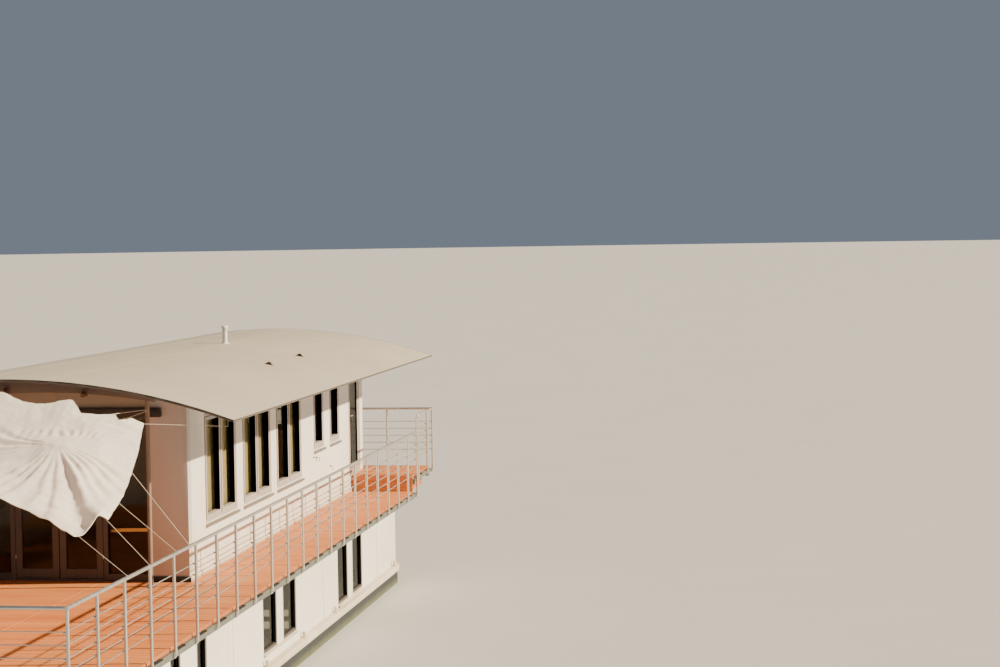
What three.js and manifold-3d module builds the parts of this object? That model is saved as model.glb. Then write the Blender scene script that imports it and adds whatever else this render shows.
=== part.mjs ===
// A two-storey houseboat: a flat-bottomed pontoon with a lower storey in it, a wide deck on top,
// and a cabin under a thin barrel roof. Millimetres, +Z up. X = 0 and Y = 0 are the middle of the
// deck, +X is the open-water side, +Y the far end, and Z = 0 is the bottom of the pontoon.
import * as THREE from 'three';
import { mergeVertices } from 'three/addons/utils/BufferGeometryUtils.js';
import Module from 'manifold-3d';

const wasm = await Module();
wasm.setup();

// Driving dimensions
const GAP = 0.3;                     // kept between pieces that rest on each other
const DRAUGHT = 900;                 // depth of the pontoon under water
const DECK_LENGTH = 20000;
const DECK_WIDTH = 6000;

// Heights above the pontoon's bottom
const HULL_TOP = DRAUGHT + 220;
const LEDGE_TOP = DRAUGHT + 320;
const BEAM_BOTTOM = DRAUGHT + 1450;
const DECK_TOP = DRAUGHT + 1570;
const DECK_THICK = 80;
const BOARD_THICK = 40;              // the planks, which reach out past the slab under them
const DECK_UNDER = DECK_TOP - DECK_THICK;
const BEARER_BOTTOM = DECK_UNDER - 100;
const RAISE = 288;                   // step from the deck up to the boarding platform
const PLATFORM_TOP = DECK_TOP + RAISE;
const PLATFORM_BEAM_BOTTOM = BEAM_BOTTOM + RAISE;

// Pontoon and lower storey
const HULL = { halfWidth: 2700, halfLength: 8350, corner: 550, chine: 120, wall: 150, floor: 220 };
const LEDGE_PROUD = 30;
const LOWER = { halfWidth: 2630, halfLength: 8040, wall: 120 };

// Deck and its steel edge
const DECK_HALF = 2920;              // planked part, inside the edge beam
const SLAB_HALF = 2800;
const STEP_Y = 8250;                 // the main deck ends and the platform starts
const DECK_SET_BACK = 37;            // from the edge beam's outer face to the planks' ends
const BEAM = { outer: 2957, width: 60, web: 8, flange: 10, height: 60 };
const END_BEAM_Y = DECK_LENGTH / 2 - 43;
const BEARERS = [-2400, -900, 900, 2400];
const BEARER_WIDTH = 100;
const BEARER_INNER_Y = 7000;

// Cabin
const CABIN = { halfWidth: 1808, near: -1920, far: 9300, wall: 150 };
const WINDOW_HEAD = DRAUGHT + 3750;
const TERRACE = { halfWidth: 1300, height: 2275, mullion: 650 };

// Roof: one arc across the boat
const ROOF = { radius: 8910, apex: DRAUGHT + 4420, thick: 40, near: -3900, far: 10000 };
const ROOF_CENTRE = ROOF.apex - ROOF.radius;
const GABLE_BEAM = { y: -2300, thick: 100, deep: 240, halfWidth: 1500, postX: 1390, postRadius: 30 };

// Railing
const TUBE = 21;                     // radius of posts and top rail
const ROD = 12;
const RAIL_X = DECK_WIDTH / 2 - TUBE;
const RAIL_Y = DECK_LENGTH / 2 - TUBE;
const RAIL_Z = DRAUGHT + 2624;
const RAISED_RAIL_Z = DRAUGHT + 2912;
const ROD_HEIGHTS = [298, 428, 558, 688, 818];
const POST_COUNT = 22;
const LAST_POST_Y = 8390;
const RAISED_POSTS = [8530, 9439, RAIL_Y];
const END_POSTS = [-2130, -1278, -426, 426, 1278, 2130];

const houseboat = new THREE.Group();
houseboat.name = 'houseboat';

// Finishes, as colour, roughness and metalness
const FINISH = {
  hullPaint: [0x23282a, 0.6, 0.1],
  whitePanel: [0xe9e7e0, 0.55, 0],
  ledgePaint: [0xb7ab95, 0.6, 0.1],
  galvanised: [0xa9aeb0, 0.5, 0.8],
  deckBoard: [0xb5704a, 0.75, 0],
  frame: [0xb9ae9d, 0.5, 0],
  roofSheet: [0xbfb9ad, 0.45, 0.6],
  timber: [0x4f3a30, 0.7, 0],
  stainless: [0xc9c6c0, 0.3, 0.95],
  canvas: [0xe9ddc2, 0.95, 0],
};

function material(finish) {
  const [color, roughness, metalness] = FINISH[finish];
  return new THREE.MeshStandardMaterial({ color, roughness, metalness });
}

function solid(geometry) {
  const bare = geometry.index ? geometry.toNonIndexed() : geometry.clone();
  for (const key of Object.keys(bare.attributes)) {
    if (key !== 'position') bare.deleteAttribute(key);
  }
  const merged = mergeVertices(bare, 1e-3);
  return new wasm.Manifold(new wasm.Mesh({
    numProp: 3,
    vertProperties: new Float32Array(merged.attributes.position.array),
    triVerts: new Uint32Array(merged.index.array),
  }));
}

function geometryOf(manifold) {
  const mesh = manifold.getMesh();
  const geometry = new THREE.BufferGeometry();
  geometry.setAttribute('position', new THREE.BufferAttribute(new Float32Array(mesh.vertProperties), 3));
  geometry.setIndex(new THREE.BufferAttribute(new Uint32Array(mesh.triVerts), 1));
  return geometry;
}

function join(pieces) {
  return pieces.reduce((whole, piece) => whole.add(piece));
}

function cut(body, tools) {
  return tools.reduce((rest, tool) => rest.subtract(tool), body);
}

function add(name, manifold, finish) {
  const mesh = new THREE.Mesh(geometryOf(manifold), material(finish));
  mesh.name = name;
  houseboat.add(mesh);
}

// A block from its low to its high side along X, Y and Z
function block([x0, x1], [y0, y1], [z0, z1]) {
  const geometry = new THREE.BoxGeometry(x1 - x0, y1 - y0, z1 - z0);
  return solid(geometry.translate((x0 + x1) / 2, (y0 + y1) / 2, (z0 + z1) / 2));
}

// A round bar from one point to another
function bar(from, to, radius, sides = 8) {
  const start = new THREE.Vector3(...from);
  const end = new THREE.Vector3(...to);
  const along = end.clone().sub(start);
  const geometry = new THREE.CylinderGeometry(radius, radius, along.length(), sides);
  geometry.translate(0, along.length() / 2, 0);
  geometry.applyQuaternion(
    new THREE.Quaternion().setFromUnitVectors(new THREE.Vector3(0, 1, 0), along.normalize()));
  return solid(geometry.translate(...start.toArray()));
}

// A flat outline seen along Y, with x and z, drawn out from y0 to y1
function prismY(shape, y0, y1, curveSegments = 24) {
  const geometry = new THREE.ExtrudeGeometry(shape, { depth: y1 - y0, bevelEnabled: false, curveSegments });
  return solid(geometry.rotateX(Math.PI / 2).translate(0, y1, 0));
}

// A block with rounded plan corners, on the boat's centre; with a chamfer it is cut back by
// that much at its lower and upper edges
function roundedSlab(halfWidth, halfLength, corner, z0, z1, chamfer = 0) {
  if (chamfer > 0) {
    const core = roundedOutline(halfWidth - chamfer, halfLength - chamfer, corner - chamfer);
    const geometry = new THREE.ExtrudeGeometry(core, {
      depth: z1 - z0 - 2 * chamfer,
      bevelThickness: chamfer,
      bevelSize: chamfer,
      bevelSegments: 1,
      curveSegments: 6,
    });
    return solid(geometry.translate(0, 0, z0 + chamfer));
  }
  const shape = roundedOutline(halfWidth, halfLength, corner);
  const geometry = new THREE.ExtrudeGeometry(shape, { depth: z1 - z0, bevelEnabled: false, curveSegments: 6 });
  return solid(geometry.translate(0, 0, z0));
}

function roundedOutline(halfWidth, halfLength, corner) {
  const shape = new THREE.Shape();
  shape.moveTo(halfWidth, -halfLength + corner);
  shape.lineTo(halfWidth, halfLength - corner);
  shape.absarc(halfWidth - corner, halfLength - corner, corner, 0, Math.PI / 2);
  shape.lineTo(-halfWidth + corner, halfLength);
  shape.absarc(-halfWidth + corner, halfLength - corner, corner, Math.PI / 2, Math.PI);
  shape.lineTo(-halfWidth, -halfLength + corner);
  shape.absarc(-halfWidth + corner, -halfLength + corner, corner, Math.PI, 1.5 * Math.PI);
  shape.lineTo(halfWidth - corner, -halfLength);
  shape.absarc(halfWidth - corner, -halfLength + corner, corner, 1.5 * Math.PI, 2 * Math.PI);
  return shape;
}

// Everything under the arc of the given radius about the roof's axis, out to halfWidth
function underArc(radius, halfWidth, y0, y1, bottom) {
  const reach = Math.asin(halfWidth / radius);
  const shape = new THREE.Shape();
  shape.moveTo(-halfWidth, bottom);
  shape.lineTo(halfWidth, bottom);
  shape.absarc(0, ROOF_CENTRE, radius, Math.PI / 2 - reach, Math.PI / 2 + reach);
  return prismY(shape, y0, y1);
}

// A glazed unit in the XZ plane, outer face on y0, with a pane 24 mm thick in each bay.
// Each bay is [x0, x1, z0, z1].
const PANE = 24;
function glazed(x, z, y0, depth, bays) {
  const middle = y0 + depth / 2;
  const recesses = bays.flatMap(([a, b, c, d]) => [
    block([a, b], [y0 - 1, middle - PANE / 2], [c, d]),
    block([a, b], [middle + PANE / 2, y0 + depth + 1], [c, d]),
  ]);
  return cut(block(x, [y0, y0 + depth], z), recesses);
}

// Turns a unit drawn in the XZ plane, its outer face towards -Y, so that it faces +X or -X
function faceSide(unit, side) {
  return unit.rotate([0, 0, side * 90]);
}

// Pontoon: a tub with rounded plan corners and a small chine
function addHull() {
  const { halfWidth, halfLength, corner, chine, wall, floor } = HULL;
  const full = roundedSlab(halfWidth, halfLength, corner, chine, HULL_TOP);
  const foot = roundedSlab(halfWidth, halfLength, corner, 0, 4 * chine, chine);
  const inside = roundedSlab(halfWidth - wall, halfLength - wall - 300, corner - wall, floor, HULL_TOP + 1);
  add('hull', cut(join([full, foot]), [inside]), 'hullPaint');
}

// Ledge round the foot of the lower walls, with the mooring bollards on it
const BOLLARD_Y = [-6200, -1290, 860, 2960, 7680];
const BOLLARD = { x: 2680, radius: 30, height: 90 };
function addLedge() {
  const plate = roundedSlab(
    HULL.halfWidth + LEDGE_PROUD, HULL.halfLength + LEDGE_PROUD, HULL.corner + LEDGE_PROUD,
    HULL_TOP + GAP, LEDGE_TOP);
  const hole = block(
    [-LOWER.halfWidth + LOWER.wall, LOWER.halfWidth - LOWER.wall],
    [-LOWER.halfLength + LOWER.wall, LOWER.halfLength - LOWER.wall],
    [HULL_TOP - 1, LEDGE_TOP + 1]);
  const bollards = BOLLARD_Y.flatMap((y) => [-1, 1].map((side) => bar(
    [side * BOLLARD.x, y, LEDGE_TOP - 5], [side * BOLLARD.x, y, LEDGE_TOP + BOLLARD.height], BOLLARD.radius)));
  add('mooring_ledge', join([cut(plate, [hole]), ...bollards]), 'ledgePaint');
}

// Lower windows come in pairs with a white strip between the two panes
const LOWER_HEAD = DRAUGHT + 1350;
const LOWER_PAIRS = [
  { name: 'near', start: -5560, pane: 420, strip: 690, sill: DRAUGHT + 475 },
  { name: 'middle', start: -1280, pane: 760, strip: 370, sill: DRAUGHT + 475 },
  { name: 'far', start: 3360, pane: 730, strip: 370, sill: DRAUGHT + 360 },
];
const LOWER_UNIT = { depth: 90, setBack: 8, member: 45 };

function addLowerStorey() {
  const { halfWidth, halfLength, wall } = LOWER;
  const z = [LEDGE_TOP + GAP, DECK_UNDER - GAP];
  for (const [sideName, side] of [['right', 1], ['left', -1]]) {
    const x = side > 0 ? [halfWidth - wall, halfWidth] : [-halfWidth, -halfWidth + wall];
    const openings = LOWER_PAIRS.map(({ start, pane, strip, sill }) => block(
      [x[0] - 1, x[1] + 1], [start, start + 2 * pane + strip], [sill, LOWER_HEAD]));
    const body = block(x, [-halfLength + wall + GAP, halfLength - wall - GAP], z);
    add(`lower_wall_${sideName}`, cut(body, openings), 'whitePanel');
  }
  for (const [endName, end] of [['near', -1], ['far', 1]]) {
    const y = end > 0 ? [halfLength - wall, halfLength] : [-halfLength, -halfLength + wall];
    const pockets = BEARERS.map((x) => block(
      [x - BEARER_WIDTH / 2 - GAP, x + BEARER_WIDTH / 2 + GAP], [y[0] - 1, y[1] + 1],
      [BEARER_BOTTOM - GAP, z[1] + 1]));
    add(`lower_wall_${endName}`, cut(block([-halfWidth, halfWidth], y, z), pockets), 'whitePanel');
  }
}

function addLowerWindows() {
  const { depth, setBack, member } = LOWER_UNIT;
  for (const [sideName, side] of [['right', 1], ['left', -1]]) {
    for (const { name, start, pane, strip, sill } of LOWER_PAIRS) {
      const width = 2 * pane + strip;
      const bays = [0, pane + strip].map((x) => [x + member, x + pane - member, sill + member, LOWER_HEAD - member]);
      const unit = glazed([GAP, width - GAP], [sill + GAP, LOWER_HEAD - GAP], 0, depth, bays);
      const first = side > 0 ? start : start + width;
      const turned = faceSide(unit, side).translate([side * (LOWER.halfWidth - setBack), first, 0]);
      add(`lower_window_${sideName}_${name}`, turned, 'frame');
    }
  }
}

// A slab of deck, wide from y0 to y1, with its planks out past it at both sides and at its end
const PLANK_END_Y = END_BEAM_Y - DECK_SET_BACK;
const OVERHANG = DECK_HALF - SLAB_HALF;

function planked(y0, y1, overNear, overFar, top) {
  return join([
    block([-SLAB_HALF, SLAB_HALF], [y0 + overNear, y1 - overFar], [top - DECK_THICK, top]),
    block([-DECK_HALF, DECK_HALF], [y0, y1], [top - BOARD_THICK, top]),
  ]);
}

// Deck: full width up to the step, then only under the cabin
function addDeck() {
  const main = planked(-PLANK_END_Y, STEP_Y, OVERHANG, 0, DECK_TOP);
  const tongue = block([-CABIN.halfWidth, CABIN.halfWidth], [STEP_Y - 1, CABIN.far], [DECK_UNDER, DECK_TOP]);
  add('deck', join([main, tongue]), 'deckBoard');
}

// Steel angle with its upright leg outside, along Y or X, standing on z0
function angleY(side, y0, y1, z0) {
  const outer = side * BEAM.outer;
  const span = (width) => [outer, outer - side * width].sort((p, q) => p - q);
  return join([
    block(span(BEAM.web), [y0, y1], [z0, z0 + BEAM.height]),
    block(span(BEAM.width), [y0, y1], [z0, z0 + BEAM.flange]),
  ]);
}

function angleX(end, z0) {
  const outer = end * END_BEAM_Y;
  const span = (width) => [outer, outer - end * width].sort((p, q) => p - q);
  const x = [-BEAM.outer, BEAM.outer];
  return join([
    block(x, span(BEAM.web), [z0, z0 + BEAM.height]),
    block(x, span(BEAM.width), [z0, z0 + BEAM.flange]),
  ]);
}

// Posts of the long railings, evenly spaced from the near corner
const POSTS_Y = Array.from({ length: POST_COUNT }, (_, i) => (
  -RAIL_Y + (i * (LAST_POST_Y + RAIL_Y)) / (POST_COUNT - 1)));
const BRACKET = { inner: SLAB_HALF + GAP, before: 400, after: 40 };

// Plates on the beam that carry the planks beside each post, from beam bottom z0
function brackets(side, posts, z0) {
  const x = [side * BRACKET.inner, side * BEAM.outer].sort((p, q) => p - q);
  const z = [z0 + BEAM.height - 1, z0 + (DECK_TOP - BOARD_THICK - GAP - BEAM_BOTTOM)];
  return posts.map((y) => block(x, [y - BRACKET.before, y + BRACKET.after], z));
}

function addDeckSteel() {
  for (const [sideName, side] of [['right', 1], ['left', -1]]) {
    const angle = angleY(side, -END_BEAM_Y + BEAM.width + GAP, LAST_POST_Y + BRACKET.after, BEAM_BOTTOM);
    const plates = brackets(side, POSTS_Y.slice(1), BEAM_BOTTOM);
    add(`edge_beam_${sideName}`, join([angle, ...plates]), 'galvanised');
  }
  const half = BEARER_WIDTH / 2;
  const nearBearers = BEARERS.map((x) => block(
    [x - half, x + half], [-END_BEAM_Y + BEAM.web - 2, -BEARER_INNER_Y], [BEARER_BOTTOM, DECK_UNDER - GAP]));
  add('near_deck_frame', join([angleX(-1, BEAM_BOTTOM), ...nearBearers]), 'galvanised');
  const farBearers = BEARERS.map((x) => block(
    [x - half, x + half], [BEARER_INNER_Y, Math.abs(x) > CABIN.halfWidth ? 9850 : 9280],
    [BEARER_BOTTOM, DECK_UNDER - GAP]));
  const cross = block([-2400, 2400], [9190, 9280], [BEARER_BOTTOM, DECK_UNDER - GAP]);
  add('far_deck_frame', join([...farBearers, cross]), 'galvanised');
}

// Boarding platform: raised planking round the cabin's far end, with a riser board on each side
function addPlatform() {
  const inner = CABIN.halfWidth + 4;
  const z = [PLATFORM_TOP - DECK_THICK, PLATFORM_TOP];
  const planking = cut(
    planked(STEP_Y + 2, PLANK_END_Y, 0, OVERHANG, PLATFORM_TOP),
    [block([-inner, inner], [STEP_Y, CABIN.far + 4], [z[0] - 1, z[1] + 1])]);
  const risers = [-1, 1].map((side) => block(
    [inner, DECK_HALF].map((x) => side * x).sort((a, b) => a - b), [STEP_Y + 2, STEP_Y + 22],
    [DECK_TOP - BOARD_THICK, PLATFORM_TOP]));
  add('platform_deck', join([planking, ...risers]), 'deckBoard');

  const joistZ = [z[0] - 90, z[0] - GAP];
  const joistIn = BEAM.outer - BEAM.web + 2;
  const post = (x, y) => block([x - 40, x + 40], y, [DECK_UNDER, joistZ[1]]);
  const farJoist = [9700, 9780];
  const nearJoist = [STEP_Y + 40, STEP_Y + 120];
  const sides = [-1, 1].flatMap((side) => [
    angleY(side, STEP_Y + 25, END_BEAM_Y - BEAM.web, PLATFORM_BEAM_BOTTOM),
    ...brackets(side, RAISED_POSTS.slice(1, 2), PLATFORM_BEAM_BOTTOM),
    block([inner, joistIn].map((x) => side * x).sort((a, b) => a - b), nearJoist, joistZ),
    post(side * 2400, nearJoist),
    post(side * 2400, farJoist),
  ]);
  const frame = [angleX(1, PLATFORM_BEAM_BOTTOM), block([-joistIn, joistIn], farJoist, joistZ), ...sides];
  add('platform_frame', join(frame), 'galvanised');
}

// Upper windows, as [start, width, sill, sashes]
const UPPER_WINDOWS = [
  { name: 'large_1', start: -1100, width: 1640, sill: DRAUGHT + 2243, panes: 2 },
  { name: 'large_2', start: 890, width: 1640, sill: DRAUGHT + 2243, panes: 2 },
  { name: 'large_3', start: 2880, width: 1640, sill: DRAUGHT + 2243, panes: 2 },
  { name: 'small_1', start: 5400, width: 740, sill: DRAUGHT + 2590, panes: 1 },
  { name: 'small_2', start: 6600, width: 740, sill: DRAUGHT + 2590, panes: 1 },
];
const SIDE_DOOR = { start: 8110, width: 940, bottom: PLATFORM_TOP + 10, head: DRAUGHT + 3930 };
const FAR_WINDOW = { halfWidth: 820, sill: DRAUGHT + 2590 };

const UNIT = { depth: 100, setBack: 12, member: 95, middle: 120 };

function upperWindowsOn(side) {
  return side > 0 ? UPPER_WINDOWS : UPPER_WINDOWS.filter(({ panes }) => panes === 2);
}

function addCabinWalls() {
  const { halfWidth, near, far, wall } = CABIN;
  const roofUnder = ROOF.radius - ROOF.thick - GAP;
  const room = underArc(roofUnder, halfWidth + 100, near - 100, far + 100, DECK_TOP);
  const z = [DECK_TOP + GAP, ROOF.apex];
  for (const [sideName, side] of [['right', 1], ['left', -1]]) {
    const x = side > 0 ? [halfWidth - wall, halfWidth] : [-halfWidth, -halfWidth + wall];
    const through = [x[0] - 1, x[1] + 1];
    const openings = upperWindowsOn(side).map(({ start, width, sill }) => block(
      through, [start, start + width], [sill, WINDOW_HEAD]));
    openings.push(block(
      through, [SIDE_DOOR.start, SIDE_DOOR.start + SIDE_DOOR.width], [SIDE_DOOR.bottom, SIDE_DOOR.head]));
    const body = block(x, [near + wall + GAP, far - wall - GAP], z);
    add(`cabin_wall_${sideName}`, cut(body, openings).intersect(room), 'whitePanel');
  }
  const nearWall = block([-halfWidth, halfWidth], [near, near + wall], z);
  const doorway = block(
    [-TERRACE.halfWidth, TERRACE.halfWidth], [near - 1, near + wall + 1],
    [DECK_TOP - 1, DECK_TOP + TERRACE.height]);
  add('cabin_wall_near', cut(nearWall, [doorway]).intersect(room), 'whitePanel');
  const farWall = block([-halfWidth, halfWidth], [far - wall, far], z);
  const window = block(
    [-FAR_WINDOW.halfWidth, FAR_WINDOW.halfWidth], [far - wall - 1, far + 1], [FAR_WINDOW.sill, WINDOW_HEAD]);
  add('cabin_wall_far', cut(farWall, [window]).intersect(room), 'whitePanel');
}

// One window unit, drawn from x = 0 with its outer face on y = 0
function windowUnit(width, sill, head, panes) {
  const { depth, member, middle } = UNIT;
  const bay = (width - 2 * member - (panes - 1) * middle) / panes;
  const bays = Array.from({ length: panes }, (_, i) => {
    const x = member + i * (bay + middle);
    return [x, x + bay, sill + member, head - member];
  });
  return glazed([GAP, width - GAP], [sill + GAP, head - GAP], 0, depth, bays);
}

function addUpperWindows() {
  for (const [sideName, side] of [['right', 1], ['left', -1]]) {
    for (const { name, start, width, sill, panes } of upperWindowsOn(side)) {
      const first = side > 0 ? start : start + width;
      const unit = faceSide(windowUnit(width, sill, WINDOW_HEAD, panes), side)
        .translate([side * (CABIN.halfWidth - UNIT.setBack), first, 0]);
      add(`window_${sideName}_${name}`, unit, 'frame');
    }
  }
  const far = windowUnit(2 * FAR_WINDOW.halfWidth, FAR_WINDOW.sill, WINDOW_HEAD, 2)
    .rotate([0, 0, 180])
    .translate([FAR_WINDOW.halfWidth, CABIN.far - UNIT.setBack, 0]);
  add('window_far', far, 'frame');
}

// Doors: leaves stand in their frames with a working gap all round
const LEAF = { gap: 6, thick: 60, member: 90 };
const DOOR_FRAME = { jamb: 66, sill: 30, depth: 100 };

function doorLeaf(x0, x1, z0, z1) {
  const bay = [x0 + LEAF.member, x1 - LEAF.member, z0 + 1.4 * LEAF.member, z1 - LEAF.member];
  return glazed([x0, x1], [z0, z1], 0, LEAF.thick, [bay]);
}

function addSideDoors() {
  const { start, width, bottom, head } = SIDE_DOOR;
  const { jamb, sill, depth } = DOOR_FRAME;
  for (const [sideName, side] of [['right', 1], ['left', -1]]) {
    const first = side > 0 ? start : start + width;
    const seat = (unit) => faceSide(unit, side).translate([side * (CABIN.halfWidth - UNIT.setBack), first, 0]);
    const ring = cut(
      block([GAP, width - GAP], [0, depth], [bottom + GAP, head - GAP]),
      [block([jamb, width - jamb], [-1, depth + 1], [bottom + sill, head - jamb])]);
    add(`side_door_frame_${sideName}`, seat(ring), 'frame');
    const leaf = doorLeaf(
      jamb + LEAF.gap, width - jamb - LEAF.gap, bottom + sill + LEAF.gap, head - jamb - LEAF.gap);
    add(`side_door_${sideName}`, seat(leaf), 'frame');
  }
}

// Terrace front: two fixed side lights and a pair of leaves between them
function addTerraceFront() {
  const { halfWidth, height, mullion } = TERRACE;
  const y0 = CABIN.near + UNIT.setBack;
  const { jamb, sill, depth } = DOOR_FRAME;
  const z = [DECK_TOP + GAP, DECK_TOP + height - GAP];
  const lights = [-1, 1].map((side) => {
    const x = [side * (halfWidth - jamb), side * (mullion + jamb / 2)].sort((a, b) => a - b);
    return [...x, DECK_TOP + 1.5 * jamb, z[1] - jamb];
  });
  const frame = glazed([-halfWidth + GAP, halfWidth - GAP], z, y0, depth, lights);
  const clear = mullion - jamb / 2;
  const doorway = block([-clear, clear], [y0 - 1, y0 + depth + 1], [DECK_TOP + sill, z[1] - jamb]);
  add('terrace_frame', cut(frame, [doorway]), 'frame');
  for (const [sideName, side] of [['right', 1], ['left', -1]]) {
    const x = [side * LEAF.gap, side * (clear - LEAF.gap)].sort((a, b) => a - b);
    const leaf = doorLeaf(...x, DECK_TOP + sill + LEAF.gap, z[1] - jamb - LEAF.gap);
    add(`terrace_door_${sideName}`, leaf.translate([0, y0, 0]), 'frame');
  }
}

// Roof sheet, the arched beam under its near end, and the two slim posts that carry the beam
function addRoof() {
  const { radius, thick, near, far } = ROOF;
  const halfWidth = DECK_WIDTH / 2;
  const sheet = underArc(radius, halfWidth, near, far, DECK_TOP)
    .subtract(underArc(radius - thick, halfWidth + 1, near - 1, far + 1, 0));
  add('roof_sheet', sheet, 'roofSheet');

  const beam = GABLE_BEAM;
  const top = radius - thick - GAP;
  const y = [beam.y - beam.thick / 2, beam.y + beam.thick / 2];
  const arch = underArc(top, beam.halfWidth, ...y, DECK_TOP)
    .subtract(underArc(top - beam.deep, beam.halfWidth + 1, y[0] - 1, y[1] + 1, 0));
  add('gable_beam', arch, 'timber');

  const outerFoot = beam.postX + beam.postRadius;
  const postTop = ROOF_CENTRE + Math.sqrt((top - beam.deep) ** 2 - outerFoot ** 2) - GAP;
  for (const [sideName, side] of [['right', 1], ['left', -1]]) {
    const x = side * beam.postX;
    const post = join([
      bar([x, beam.y, DECK_TOP + GAP], [x, beam.y, postTop], beam.postRadius, 12),
      block([x - 75, x + 75], [beam.y - 75, beam.y + 75], [DECK_TOP + GAP, DECK_TOP + 12]),
    ]);
    add(`gable_post_${sideName}`, post, 'stainless');
  }
}

// Vent pipe and two lifting eyes on the roof, each cut to the roof's curve
const PIPE = { x: 460, y: 4900, radius: 40, height: 260 };
const EYES = [{ name: 'roof_eye_1', x: 1890, y: 2190 }, { name: 'roof_eye_2', x: 1860, y: 4280 }];
const EYE = { length: 130, width: 60, height: 60 };

function roofZ(x) {
  return ROOF_CENTRE + Math.sqrt(ROOF.radius ** 2 - x ** 2);
}

function addRoofFittings() {
  const skin = underArc(ROOF.radius + GAP, DECK_WIDTH / 2, ROOF.near, ROOF.far, DECK_TOP);
  const { x, y, radius, height } = PIPE;
  const z = roofZ(x);
  const pipe = join([
    bar([x, y, z - 30], [x, y, z + height], radius, 16),
    bar([x, y, z - 30], [x, y, z + 25], radius * 2.2, 16),
    bar([x, y, z + height - 20], [x, y, z + height + 30], radius * 1.35, 16),
  ]);
  add('vent_pipe', pipe.subtract(skin), 'whitePanel');
  for (const eye of EYES) {
    const base = roofZ(eye.x);
    const plate = block([-EYE.length / 2, EYE.length / 2], [-EYE.width / 2, EYE.width / 2], [-20, 12]);
    const lug = block([-32, 32], [-8, 8], [-20, EYE.height]);
    const hole = bar([0, -20, 36], [0, 20, 36], 12);
    const tilt = Math.asin(eye.x / ROOF.radius) * 180 / Math.PI;
    const fitting = join([plate, lug]).subtract(hole).rotate([0, tilt, 0]).translate([eye.x, eye.y, base]);
    add(eye.name, fitting.subtract(skin), 'galvanised');
  }
}

// Railing posts stand outside the edge beams, each on one clamp block
const CLAMP = { low: 5, high: 80, halfWidth: 28 };
const POST_FOOT = 40;                // height of a post's foot over the beam's bottom

function postAt(x, y, beamBottom, top, across) {
  const z = [beamBottom + CLAMP.low, beamBottom + CLAMP.high];
  const span = (value, inner) => [inner + GAP, Math.abs(value)].map((v) => Math.sign(value) * v)
    .sort((a, b) => a - b);
  const low = Math.max(y - CLAMP.halfWidth, -DECK_LENGTH / 2);
  const high = Math.min(y + CLAMP.halfWidth, DECK_LENGTH / 2);
  const clamp = across === 'x'
    ? block(span(x, BEAM.outer), [low, high], z)
    : block([x - CLAMP.halfWidth, x + CLAMP.halfWidth], span(y, END_BEAM_Y), z);
  return [bar([x, y, beamBottom + POST_FOOT], [x, y, top], TUBE, 6), clamp];
}

function addSideRailing(sideName, side) {
  const x = side * RAIL_X;
  const pieces = POSTS_Y.flatMap((y, i) => postAt(
    x, y, BEAM_BOTTOM, i === POST_COUNT - 1 ? RAISED_RAIL_Z - 30 : RAIL_Z, 'x'));
  pieces.push(bar([x, -RAIL_Y - TUBE, RAIL_Z], [x, RAISED_POSTS[0], RAIL_Z], TUBE));
  const firstTop = side > 0 ? RAISED_RAIL_Z : RAIL_Z;
  pieces.push(...postAt(x, RAISED_POSTS[0], PLATFORM_BEAM_BOTTOM, firstTop, 'x'));
  if (side > 0) {
    pieces.push(bar([x, RAISED_POSTS[0], RAISED_RAIL_Z], [x, RAIL_Y + TUBE, RAISED_RAIL_Z], TUBE));
    for (const y of RAISED_POSTS.slice(1)) {
      pieces.push(...postAt(x, y, PLATFORM_BEAM_BOTTOM, RAISED_RAIL_Z, 'x'));
    }
  }
  add(`railing_${sideName}`, join(pieces), 'stainless');
}

// Cross railings between the long ones; the far one turns the corner on the bank side,
// and the gap beside it is the boarding place
function addEndRailings() {
  const inside = RAIL_X - TUBE - GAP;
  const near = END_POSTS.flatMap((x) => postAt(x, -RAIL_Y, BEAM_BOTTOM, RAIL_Z, 'y'));
  near.push(bar([-inside, -RAIL_Y, RAIL_Z], [inside, -RAIL_Y, RAIL_Z], TUBE));
  add('railing_near', join(near), 'stainless');

  const far = END_POSTS.flatMap((x) => postAt(x, RAIL_Y, PLATFORM_BEAM_BOTTOM, RAISED_RAIL_Z, 'y'));
  far.push(bar([-RAIL_X, RAIL_Y, RAISED_RAIL_Z], [inside, RAIL_Y, RAISED_RAIL_Z], TUBE));
  far.push(bar([-RAIL_X, RAISED_POSTS[1], RAISED_RAIL_Z], [-RAIL_X, RAIL_Y + TUBE, RAISED_RAIL_Z], TUBE));
  for (const y of RAISED_POSTS.slice(1)) {
    far.push(...postAt(-RAIL_X, y, PLATFORM_BEAM_BOTTOM, RAISED_RAIL_Z, 'x'));
  }
  add('railing_far', join(far), 'stainless');
}

// Infill rods run along the inside of the posts, held by a flat upright at each end
const ROD_X = RAIL_X - TUBE - GAP - ROD / 2;
const ROD_Y = RAIL_Y - TUBE - GAP - ROD / 2;
const ROD_END_X = ROD_X - 20;
const ROD_STEP_Y = STEP_Y - 30;
const FLAT = { width: 40, thick: 8, over: 10, cover: 8 };

function rods(x, y, floor) {
  return ROD_HEIGHTS.map((height) => block(x, y, [floor + height - ROD / 2, floor + height + ROD / 2]));
}

function upright(x, y, floors) {
  const low = floors[0] + ROD_HEIGHTS[0] - ROD / 2 - FLAT.over;
  const high = floors[floors.length - 1] + ROD_HEIGHTS[ROD_HEIGHTS.length - 1] + ROD / 2 + FLAT.over;
  return block(x, y, [low, high]);
}

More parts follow.
